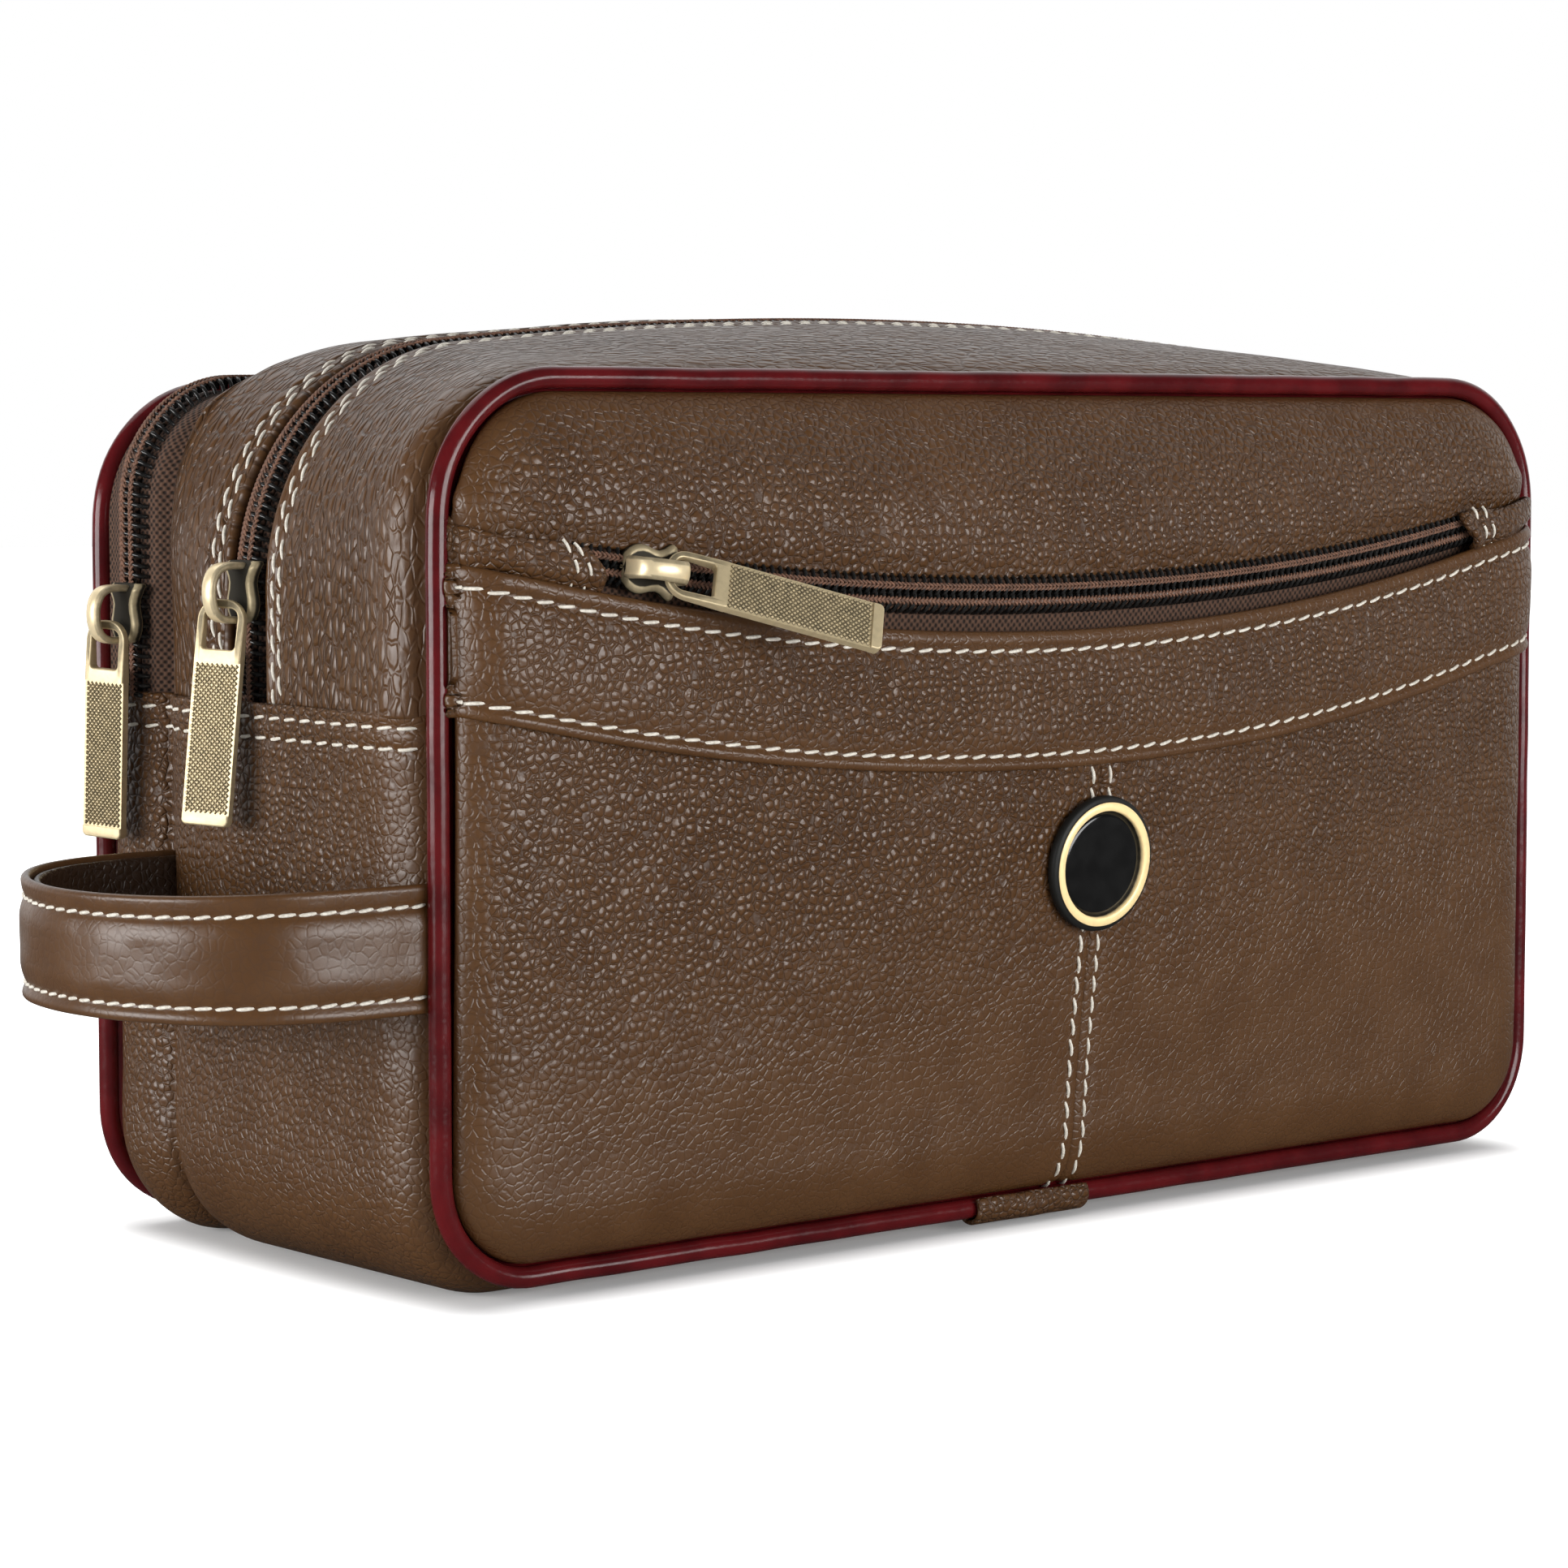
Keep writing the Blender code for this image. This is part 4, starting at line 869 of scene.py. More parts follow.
def makeFront():
    edge = bag["halfLength"] - bag["seamInset"]
    rowTop, rowLow, rowOut = frontStitch["weltTop"], frontStitch["weltLow"], frontStitch["seamOut"]
    seamX = frontStitch["seamX"]

    def upper(u, v):
        x = lerp(pocket["upperLeft"], pocket["upperRight"], 0.5 + 0.5 * np.sin(math.pi / 2 * (2 * u - 1)))
        return frontFace(x, lerp(mouthEdge(x), outlineTop(x), np.sin(math.pi / 2 * v)))

    def upperRelief(u, v, points):
        x, z = points[..., 0], points[..., 2]
        hem = z - mouthEdge(x)
        fold = 0.5 * mm * bell(hem - 4.5 * mm, 2.2 * mm) - 0.35 * mm * bell(hem, 1.6 * mm)
        return slackRelief(points, edgeDistance(x, z), 11) * ease(hem / (6 * mm)) + fold

    def upperThick(u, v):
        return lerp(0.9 * mm, 1.6 * mm, ease(v / 0.09))

    def lower(x, v):
        return frontFace(x, lerp(outlineLow(x), weltTop(x) - 7.5 * mm, 1 - np.cos(math.pi / 2 * v)))

    def left(u, v):
        return lower(lerp(-edge, seamX - bag["gap"] / 2, u), v)

    def right(u, v):
        return lower(lerp(seamX + bag["gap"] / 2, edge, u), v)

    def lowerRelief(u, v, points):
        x = np.abs(points[..., 0] - seamX)
        seam = -0.45 * mm * bell(x - rowOut, 0.7 * mm) - 0.5 * mm * bell(x, 0.5 * mm)
        slack = slackRelief(points, edgeDistance(points[..., 0], points[..., 2]), 23)
        return slack * ease(x / (4 * mm)) + seam

    def welt(u, v):
        x = pocket["ends"] * np.sin(math.pi / 2 * (2 * u - 1))
        lift = lerp(0.35 * mm, bag["leather"] + bag["gap"], endLift(x))
        return frontFace(x, weltTop(x) - pocket["welt"] * (1 - v), lift)

    def weltRelief(u, v, points):
        down, up = (1 - v) * pocket["welt"], v * pocket["welt"]
        rows = bell(down - rowTop, 0.8 * mm) + bell(up - rowLow, 0.7 * mm)
        fill = 0.5 * mm * ease(np.minimum(down - rowTop, up - rowLow) / (5 * mm))
        roll = 0.35 * mm * bell(down - 0.9 * mm, 1.1 * mm) + 0.25 * mm * bell(up - 0.5 * mm, 0.8 * mm)
        lumps = 0.24 * mm * swell(points, 15 * mm, 31) * ease(down / (4 * mm))
        return (fill + roll - 0.4 * mm * rows + lumps) * lerp(0.4, 1.0, endLift(points[..., 0]))

    def weltTaut(points):
        x, down = points[..., 0], weltTop(points[..., 0]) - points[..., 2]
        ends = np.exp(-(pocket["ends"] - np.abs(x)) / (9 * mm))
        rolls = bell(down, 3.2 * mm) + bell(pocket["welt"] - down, 4.5 * mm)
        return np.maximum(ends, rolls)

    upperSheet = sheetData(upper, stops(200), stops(72), upperThick, upperRelief, taut=frontTaut)
    lowSheets, seamLines = [], []
    for side, place in ((-1, left), (1, right)):
        span = edge - side * seamX - bag["gap"] / 2
        rowShare = 1 - (rowOut - bag["gap"] / 2) / span
        us = np.unique(np.concatenate([rolledStops(100, span, 10 * mm), stops(1, (rowShare, 1.0), 0.02, 12)]))
        if side > 0:
            us, rowShare = 1 - us[::-1], 1 - rowShare
        lowSheets.append(sheetData(place, us, stops(96), bag["leather"], lowerRelief, taut=frontTaut))
        seamLines.append(rowAlongV(lowSheets[-1], rowShare, 0.03, 0.93))
    lowShare, topShare = rowLow / pocket["welt"], 1 - rowTop / pocket["welt"]
    weltVs = stops(30, (0.0, lowShare, topShare, 1.0), 0.05, 8)
    weltSheet = sheetData(welt, stops(280), weltVs, 1.5 * mm, weltRelief, rim=6, taut=weltTaut)
    for name, sheet in (("front_upper_panel", upperSheet), ("front_lower_panel_left", lowSheets[0]),
                        ("front_lower_panel_right", lowSheets[1]), ("pocket_welt_band", weltSheet)):
        dress(addPiece(name + "_hide", [sheet], leather), "bag", "leather", name)

    trim = 0.012
    weltLines = [rowAlongU(weltSheet, share, trim, 1 - trim) for share in (lowShare, topShare)]
    sew("welt_stitching", weltLines, Pitch=frontStitch["pitch"], Length=frontStitch["length"], Slant=0.17)
    sew("centre_seam_stitching", seamLines, Pitch=3.5 * mm, Length=3.0 * mm)


# Zip end tabs, in millimetres: inner edge at its foot and top, outer edge, and the top's height over the zip
tabs = {
    "pocket_zip_tab_left": {"foot": -102.2, "head": -102.2, "outer": -124.4, "topIn": 1.7, "topOut": 1.5,
                            "corner": 2.4, "arch": 0.9, "rows": (2.3, 4.7), "slant": 0.05},
    "pocket_zip_tab_right": {"foot": 105.0, "head": 98.0, "outer": 123.2, "topIn": 2.9, "topOut": 0.65,
                             "corner": 1.0, "arch": 1.5, "rows": (2.6, 5.2), "slant": -0.25},
}


def makeTab(name, tab):
    side = math.copysign(1.0, tab["outer"])

    def inward(u):
        return u if side > 0 else 1 - u

    def place(u, v):
        inner = lerp(tab["foot"], tab["head"], v) + side * tab["corner"] * np.abs(2 * v - 1) ** 3
        x = lerp(inner, tab["outer"], inward(u)) * mm
        wave = 0.25 * mm * np.sin(x / (2.6 * mm))
        high = zipHeight(x) + lerp(tab["topIn"], tab["topOut"], inward(u)) * mm + wave
        z = lerp(weltTop(x) - 2 * mm, high, v)
        clear = ease((z - weltTop(x)) / (3 * mm)) * lerp(0.2, 1.0, endLift(x))
        return frontFace(x, z, lerp(-0.15 * mm, bag["leather"] + 0.7 * mm, clear))

    def relief(u, v, points):
        away = inward(u) * abs(tab["outer"] - (tab["foot"] + tab["head"]) / 2)
        rows = sum(bell(away - row, 0.7) for row in tab["rows"])
        arch = tab["arch"] * mm * np.sin(math.pi * v) * ease((22 - away) / 12)
        creases = 0.30 * mm * swell(points, 6 * mm, 5) + 0.14 * mm * swell(points, 2.6 * mm, 6)
        return arch - 0.32 * mm * rows * np.sin(math.pi * v) + creases * np.sin(math.pi * v)

    sheet = sheetData(place, stops(64), stops(36), 1.5 * mm, relief, rim=6)
    dress(addPiece(name + "_hide", [sheet], leather), "bag", "leather", name)
    wide = abs(tab["outer"] - (tab["foot"] + tab["head"]) / 2)
    lines = [rowAlongV(sheet, inward(row / wide), 0.30, 0.97) for row in tab["rows"]]
    word = name.rsplit("_", 1)[1]
    sizes = {"Pitch": 2.9 * mm, "Length": 2.5 * mm, "Thickness": 0.55 * mm, "Slant": tab["slant"]}
    sew(f"tab_stitching_{word}", lines, **sizes)


makeFront()
for name, tab in tabs.items():
    makeTab(name, tab)
print("front made")


# Back panel

backForm = {"crown": 3.5 * mm, "rise": 2.8 * mm, "roll": 6 * mm, "stretch": 5 * mm}


def makeBack():
    edge = bag["halfLength"] - bag["seamInset"]
    top = bag["backTop"]

    def place(u, v):
        x = -edge * np.sin(math.pi / 2 * (2 * u - 1))
        z = lerp(outlineLow(x), outlineTop(x, top), 0.5 - 0.5 * np.cos(math.pi * v))
        middle = (z - (bag["low"] + top) / 2) / (top - bag["low"]) * 2
        crown = backForm["crown"] * (1.0 - (x / bag["halfLength"]) ** 2) * (1.0 - middle ** 2)
        edgeRise = backForm["rise"] * rolledEdge(x, z, backForm["roll"], top)
        return xyz(x, bag["halfDepth"] + edgeRise + crown, z)

    def fromEdge(points):
        return np.maximum(0.0, edgeDistance(points[..., 0], points[..., 2], top))

    def relief(u, v, points):
        return slackRelief(points, fromEdge(points), 41)

    def taut(points):
        return np.exp(-fromEdge(points) / backForm["stretch"])

    sheet = sheetData(place, stops(190), stops(110), bag["leather"], relief, taut=taut)
    dress(addPiece("back_panel_hide", [sheet], leather), "bag", "leather", "back_panel")


makeBack()


# Gusset: strips on each side of the main zip, and the two lower gussets

gussetStitch = {"zipRows": (1.2 * mm, 2.9 * mm), "footRows": (1.7 * mm, 5.0 * mm), "pitch": 4.3 * mm}
# How the gusset turns down to the front piping
stripRoll = {"start": 1.2 * mm, "width": 6.5 * mm, "dip": 0.8 * mm, "puff": 4.1 * mm, "lower": 9 * mm}


def endFade(share):
    return ease(np.minimum(share, 1.0 - share) / endShare)


def makeStrips():
    front, rear = bag["zipMiddle"] - bag["zipWindow"] / 2, bag["zipMiddle"] + bag["zipWindow"] / 2
    frontWide, rearWide = front - bag["frontSeam"], bag["crease"] - rear

    def frontStrip(u, v):
        share = v ** 1.5
        seam, outward = seamArch(u)
        edge, _ = mainArch(u)
        point = lerp(seam, edge, (1.0 - (1.0 - share) ** 1.4)[..., None])
        part = np.clip((share * frontWide - stripRoll["start"]) / stripRoll["width"], 0.0, 1.0)
        puff = stripRoll["puff"] * (1.0 - share) * (1.0 - 0.65 * outward[..., 2] ** 2)
        lift = lerp(-stripRoll["dip"], puff, quarter(part))
        point = point + outward * lift[..., None]
        point[..., 1] = lerp(bag["frontSeam"], front, share)
        return point

    def rearStrip(u, v):
        share = 1.0 - (1.0 - v) ** 1.5
        edge, outward = mainArch(u)
        crease, _ = creaseArch(u)
        fall = 1.0 - np.sqrt(np.maximum(0.0, 1.0 - share ** 2.5))
        point = lerp(edge, crease, fall[..., None])
        point = point + outward * (1.2 * mm * endFade(u) * (1.0 - (2.0 * share - 1.0) ** 4))[..., None]
        point[..., 1] = lerp(rear, bag["crease"], share)
        return point

    def relief(side, seed):
        def lumps(u, v, points):
            toZip = np.abs(points[..., 1] - (front if side < 0 else rear))
            toSeam = np.abs(points[..., 1] - (bag["frontSeam"] if side < 0 else bag["crease"]))
            rows = sum(bell(toZip - row, 0.7 * mm) for row in gussetStitch["zipRows"])
            hem = 0.6 * mm * bell(toZip, 3.5 * mm) - 0.38 * mm * rows
            return hem + slackRelief(points, toSeam, seed, 0.5 * mm, 0.3 * mm) * ease(toZip / (5 * mm))

        return lumps

    def thick(side):
        def depth(u, v):
            near = (1.0 - v ** 1.5) * frontWide if side < 0 else (1.0 - (1.0 - v) ** 1.5) * rearWide
            return lerp(bag["leather"], 2.0 * mm, ease(1.0 - near / (6 * mm)))

        return depth

    def taut(points):
        bySeam = bell(points[..., 1] - bag["frontSeam"], 8 * mm)
        return 0.95 * np.maximum(bySeam, bell(points[..., 1] - front, 4 * mm))

    frontVs = [(1 - row / frontWide) ** (1 / 1.5) for row in gussetStitch["zipRows"]]
    rearVs = [1 - (1 - row / rearWide) ** (1 / 1.5) for row in gussetStitch["zipRows"]]
    us = evenStops(lambda share: mainArch(share)[0], 360)
    half = gussetStitch["pitch"] / 2
    lines = []
    for name, place, side, seed, rows, count, reach in (
        ("top_strip_front", frontStrip, -1, 51, frontVs, 44, 0.03),
        ("top_strip_rear", rearStrip, 1, 61, rearVs, 36, 0.06),
    ):
        vs = stops(count, rows, reach, 8)
        sheet = sheetData(place, us, vs, thick(side), relief(side, seed), rim=6, taut=taut)
        dress(addPiece(name + "_hide", [sheet], drawnLeather), "bag", "leather", name)
        for number, v in enumerate(rows):
            line, out = rowAlongU(sheet, v, 0.004, 0.996, 1400)
            # The second row starts half a stitch later
            skip = np.searchsorted(runLength(line), half * number)
            lines.append((line[skip:], out[skip:]))
    sew("main_zip_stitching", lines, Pitch=gussetStitch["pitch"], Length=3.3 * mm, Slant=0.17)


def makeLowerGussets():
    def cradle(rearY, frontY, rearEdge, middle, frontEdge, roll):
        def place(u, v):
            share = 0.5 - 0.5 * np.cos(math.pi * v)
            near = np.minimum(share, 1.0 - share) * (rearY - frontY)
            part = np.clip((near - stripRoll["start"]) / roll, 0.0, 1.0)
            point = lerp(rearEdge(u), frontEdge(u), share[..., None])
            point = lerp(point, middle(u), quarter(part)[..., None])
            point[..., 1] = lerp(rearY, frontY, share)
            return point

        return place

    def relief(rearY, frontY, seed):
        def lumps(u, v, points):
            part = np.minimum(u, 1.0 - u)
            # A metre is added past the straight end, so that no row or lip falls there
            down = (bag["zipFoot"] - points[..., 2]) + 1.0 * (part > endShare)
            rows = sum(bell(down - row, 0.75 * mm) for row in gussetStitch["footRows"])
            edge = np.minimum(np.abs(points[..., 1] - rearY), np.abs(points[..., 1] - frontY))
            lip = 0.5 * mm * ease(1.0 - down / (9 * mm)) - 0.4 * mm * rows
            standing = ease((points[..., 2] - 1.5 * mm) / (6 * mm))
            slack = slackRelief(points, edge, seed, 0.55 * mm) * standing * ease(down / (4 * mm))
            return lip * ease(edge / (2 * mm)) + slack

        return lumps

    def taut(points):
        low = 0.7 * ease((46 * mm - points[..., 2]) / (34 * mm))
        return np.maximum(0.9 * bell(points[..., 1] - bag["frontSeam"], 16 * mm), low)

    shares = [endShare * row / (bag["zipFoot"] - 19 * mm) for row in gussetStitch["footRows"]]
    near = [share + 0.0015 * np.linspace(-1, 1, 7) for share in shares + [1 - share for share in shares]]
    us = np.unique(np.concatenate([evenStops(mainCradle, 330), *near]))
    crease = bag["crease"]
    mainPaths = (creaseCradle, mainCradle, seamCradle)
    backPaths = (seamCradle, backCradle, creaseCradle)
    lines = []
    for name, rearY, frontY, paths, rows, seed in (
        ("main_gusset_lower", crease, bag["frontSeam"], mainPaths, 72, 71),
        ("back_gusset_lower", bag["backSeam"], crease + 0.7 * mm, backPaths, 40, 81),
    ):
        place = cradle(rearY, frontY, *paths, stripRoll["lower"])
        lumps = relief(rearY, frontY, seed)
        sheet = sheetData(place, us, stops(rows), bag["leather"], lumps, rim=6, taut=taut)
        dress(addPiece(name + "_hide", [sheet], leather), "bag", "leather", name)
        for share in shares:
            lines += [rowAlongV(sheet, share, 0.1, 0.93), rowAlongV(sheet, 1 - share, 0.1, 0.93)]
    sew("gusset_stitching", lines, Pitch=4.2 * mm, Length=3.0 * mm, Slant=0.1)


makeStrips()
makeLowerGussets()
print("gusset made")


# Piping: a vinyl tube with the flange that is sewn into the seam

pipingForm = {"sides": 20, "steps": 420, "wave": 0.10 * mm, "waveSize": 9 * mm, "flangeIn": -4.5 * mm,
              "flangeOut": -0.9 * mm, "flangeHalf": 0.22 * mm, "flangeBack": 1.35 * mm}
jointForm = {"left": -15.4 * mm, "right": 9.8 * mm, "thick": 0.9 * mm, "outer": 125, "inner": -35}


def loopPoints(top, steps=28):
    # Even points round the piping's oblong, with their outward directions
    points, out = [], []
    for sideX, sideZ, start in ((1, 1, 0), (-1, 1, 90), (-1, -1, 180), (1, -1, 270)):
        radius = bag["topCorner"] if sideZ > 0 else bag["lowCorner"]
        middleX = sideX * (bag["halfLength"] - radius)
        middleZ = (top - radius) if sideZ > 0 else (bag["low"] + radius)
        for angle in np.radians(start + np.linspace(0, 90, steps)):
            out.append((math.cos(angle), 0.0, math.sin(angle)))
            points.append((middleX + radius * math.cos(angle), 0.0, middleZ + radius * math.sin(angle)))
    points, out = np.array(points), np.array(out)
    run = runLength(points)
    close = run[-1] + np.linalg.norm(points[0] - points[-1])
    wanted = np.linspace(0, close, pipingForm["steps"], endpoint=False)
    points, out = np.vstack([points, points[:1]]), np.vstack([out, out[:1]])
    run = np.append(run, close)
    even = np.stack([np.interp(wanted, run, points[:, k]) for k in range(3)], -1)
    return even, unit(np.stack([np.interp(wanted, run, out[:, k]) for k in range(3)], -1))


def ringData(line, out, section):
    # Sweeps a closed section, given as (outward, +Y) pairs, round a closed loop
    count, sides = len(line), len(section)
    points = line[:, None, :] + out[:, None, :] * section[None, :, :1]
    points = (points + np.array([0.0, 1.0, 0.0]) * section[None, :, 1:]).reshape(-1, 3)
    ids = np.arange(count * sides).reshape(count, sides)
    ahead, turn = np.roll(ids, -1, axis=0), np.roll(ids, -1, axis=1)
    faces = np.stack([ids, turn, np.roll(ahead, -1, axis=1), ahead], -1).reshape(-1, 4)
    return {"points": points, "faces": faces}


def makePiping(name, side, top):
    form = pipingForm
    line, out = loopPoints(top)
    wave = form["wave"] * swell(line, form["waveSize"], 91)
    line = line + np.array([0.0, side * bag["halfDepth"], 0.0]) + out * wave[:, None]
    angle = np.linspace(0, 2 * math.pi, form["sides"], endpoint=False)
    tube = np.stack([np.cos(angle), np.sin(angle)], -1) * pipeRadius
    inner, outer, half = form["flangeIn"], form["flangeOut"], form["flangeHalf"]
    low = -side * form["flangeBack"]
    flange = np.array([(outer, low - half), (outer, low + half), (inner, low + half), (inner, low - half)])
    parts = [ringData(line, out, tube), ringData(line, out, flange)]
    dress(addPiece(name + "_tube", parts, pipingVinyl), "bag", "piping", name)


def makeJointCover(name, side):
    def place(u, v):
        start, end = (jointForm["outer"], jointForm["inner"])[::-side]
        angle = np.radians(lerp(start, end, v))
        radius = pipeRadius + bag["gap"] + jointForm["thick"]
        y = side * (bag["halfDepth"] + radius * np.cos(angle))
        x = lerp(jointForm["left"], jointForm["right"], u)
        return xyz(x, y, bag["low"] - radius * np.sin(angle))

    def relief(u, v, points):
        return 0.15 * mm * swell(points, 4 * mm, 95)

    sheet = sheetData(place, stops(44), stops(26), jointForm["thick"], relief)
    dress(addPiece(name + "_wrap", [sheet], leather), "bag", "leather", name)


for name, side, top in (("front", -1, bag["top"]), ("back", 1, bag["backTop"])):
    makePiping("piping_" + name, side, top)
    makeJointCover("piping_joint_cover_" + name, side)
print("piping made")


# Zips: woven tapes, coil chains and the brown thread that sews the coils down

zipLook = {
    "inner": 0.6 * mm, "outer": 10.5 * mm, "pocketTop": 9 * mm, "thick": 0.6 * mm, "pitch": 1.65 * mm,
    "coilLift": 0.25 * mm, "coilReach": 3.1 * mm, "threadLift": 2.3 * mm, "backMiddle": 35.6 * mm,
    "flat": 4.7 * mm, "tuck": 2 * mm,
}
chainRows = {"near": 0.98 * mm, "far": 1.40 * mm, "second": 0.82 * mm}


def pocketMatrix(x):
    # Carries the section at the arc's middle round to a place along the bag
    joint = next(j for j in frame["joints"] if j["name"] == "pocket_slider_travel")
    hub, axis = Matrix.Translation(joint["pos_m"]), Vector(joint["axis"])
    angle = math.asin((x - pocket["middle"]) / pocket["radius"])
    return hub @ Matrix.Rotation(angle, 4, axis) @ hub.inverted()


def alongArch(arch, y, drop):
    def place(u, across, height):
        point, out = arch(u)
        return point + out * (height - drop)[..., None] + xyz(0.0, y + across, 0.0)

    return place


def pocketTape():
    # Depth of the pocket's tape at the arc's middle
    return -bag["halfDepth"] - pocket["edgeCrown"] - pocket["midCrown"] + pocket["tapeDrop"]


def pocketPlace(u, across, height):
    face = pocketTape()
    section = xyz(pocket["middle"], face - height, pocket["height"] + across)
    turned = np.empty(np.broadcast(u, section[..., 0]).shape + (3,))
    flatU = np.broadcast_to(u, turned.shape[:-1])
    section = np.broadcast_to(section, turned.shape)
    for share in np.unique(flatU):
        turn = np.array(pocketMatrix(lerp(-pocket["reach"], pocket["reach"], share)))
        here = flatU == share
        turned[here] = section[here] @ turn[:3, :3].T + turn[:3, 3]
    return turned


def chainLine(place, across, height, count, flip, skip):
    us = np.linspace(0, 1, count)
    level = np.full(count, height)
    line = place(us, np.full(count, across), level)
    out = unit(place(us, np.full(count, across), level + mm) - line)
    if flip:
        line, out = line[::-1], out[::-1]
    start = np.searchsorted(runLength(line), skip)
    return line[start:], out[start:]


def makeZip(name, sides, tapePlace, coilPlace, reaches, count, doubled):
    threads = {"near": [], "far": []}
    for side, word, reach in zip((-1.0, 1.0), sides, reaches):
        def tape(u, v):
            low, high = sorted((side * zipLook["inner"], side * reach))
            return tapePlace(u, lerp(low, high, v), np.zeros_like(u))

        def weaveWaves(u, v, points):
            return 0.06 * mm * swell(points, 5 * mm, 101)

        sheet = sheetData(tape, stops(count), stops(18), zipLook["thick"], weaveWaves, rim=3)
        node = f"{name}_tape_{word}"
        dress(addPiece(node + "_weave", [sheet], zipTape), "bag", "zip_tape", node)
        lead = zipLook["pitch"] * (0.5 if side < 0 else 1.0)
        line = chainLine(coilPlace, 0.0, zipLook["coilLift"], 900, side < 0, lead)
        values = {"Pitch": zipLook["pitch"], "Reach": zipLook["coilReach"]}
        node = f"{name}_coil_{word}"
        mesh = grow(node + "_turns", lineMesh("coil", [line]), coilChain, values, nylon)
        dress(linkPiece(node + "_turns", mesh, nylon), "bag", "zip_coil", node)
        shifts = (0.0, chainRows["second"]) if doubled and side > 0 else (0.0,)
        for strand, lines in threads.items():
            for shift in shifts:
                across, height = chainRows[strand] + shift, zipLook["threadLift"] - 0.35 * shift
                lines.append(chainLine(coilPlace, side * across, height, 900, side < 0, 0.0))
    sizes = {"Pitch": zipLook["pitch"] / 2, "Length": 1.1 * mm, "Thickness": 0.44 * mm, "Sink": 0.1 * mm,
             "Unevenness": 0.08}
    for (strand, lines), slant in zip(threads.items(), (0.55, -0.55)):
        sew(f"{name}_chain_thread_{strand}", lines, "zip_tape", darkThread, Slant=slant, **sizes)


def makeZips():
    mainTape = alongArch(tapeArch, bag["zipMiddle"], pocket["tapeDrop"])
    mainCoil = alongArch(mainArch, bag["zipMiddle"], pocket["tapeDrop"])
    both = (zipLook["outer"], zipLook["outer"])
    makeZip("main_zip", ("front", "rear"), mainTape, mainCoil, both, 260, True)
    backCoil = alongArch(backArch, zipLook["backMiddle"], 0.0)
    reaches = (zipLook["backMiddle"] - bag["crease"] - 0.8 * mm, bag["backSeam"] - zipLook["backMiddle"])

    def backTape(u, across, height):
        # Flat under the slider, then up to the crease or down to the back seam
        crease, outward = creaseArch(u)
        crease = crease - outward * (bag["leather"] + bag["gap"])
        seam, _ = backSeamArch(u)
        rear = (across > 0)[..., None]
        reach = np.where(across > 0, reaches[1], reaches[0])
        share = ease((np.abs(across) - zipLook["flat"]) / (reach - zipLook["flat"]))[..., None]
        tape = backCoil(u, across, height)
        target = np.where(rear, seam, crease)
        point = lerp(tape, target, share)
        point[..., 1] = tape[..., 1]
        return point

    tucked = (reaches[0] + zipLook["tuck"], reaches[1])
    makeZip("back_zip", ("front", "rear"), backTape, backCoil, tucked, 260, True)
    pocketReaches = (zipLook["outer"], zipLook["pocketTop"])
    makeZip("pocket_zip", ("lower", "upper"), pocketPlace, pocketPlace, pocketReaches, 120, False)


makeZips()
print("zips made")


# Sliders, bridges and pulls, each in a frame with X across, Y along the zip and Z outward

slider = {
    "length": 9.8 * mm, "top": 3.5 * mm, "low": -2.5 * mm, "plate": 0.95 * mm, "flange": 0.35 * mm,
    "bridgeHalf": 1.4 * mm, "bridgeReach": 4.9 * mm, "bridgeRise": 6 * mm, "bridgeWall": 1.1 * mm,
}
# Half width of the slider along its length, from the nose to the square end, in millimetres
sliderOutline = ((-4.9, 1.2), (-4.6, 2.2), (-3.9, 3.1), (-2.9, 3.7), (-1.8, 3.95), (-0.8, 3.85), (0.4, 3.45),
                 (1.6, 3.25), (2.6, 3.55), (3.4, 4.1), (4.0, 4.45), (4.6, 4.5), (4.9, 4.3))
pull = {
    "hang": -1.7 * mm, "height": 6.2 * mm, "length": 36.2 * mm, "half": 4.2 * mm, "thick": 1.9 * mm,
    "bar": 1.2 * mm, "top": 0.7 * mm, "topRound": 3.4 * mm, "lowRound": 0.9 * mm, "edge": 0.28 * mm,
    "sunk": 0.3 * mm, "field": -9.4 * mm, "lip": 1.8 * mm, "windowHalf": 3.0 * mm, "windowLow": -7.3 * mm,
}
# How each pull lies along its slider, leans out from it and rolls about its own length, in degrees
pullPose = {"main": (0, 6, 28), "back": (-3, 0, 16), "pocket": (171, 19, 26)}


def frameOf(place, travel, outward):
    across = travel.cross(outward)
    return Matrix.Translation(place) @ Matrix((across, travel, outward)).transposed().to_4x4()


def moved(data, matrix):
    turn = np.array(matrix)
    return {**data, "points": data["points"] @ turn[:3, :3].T + turn[:3, 3]}


def inFrame(points, place):
    # Points as they lie in a piece's own frame
    return (np.array(place.inverted()) @ np.concatenate([points, np.ones((len(points), 1))], 1).T).T


def sliderHalf(y):
    # Shoulders, a drawn-in waist, wings and a rounded nose
    along, half = np.array(sliderOutline).T * mm
    return np.interp(y, along, half)


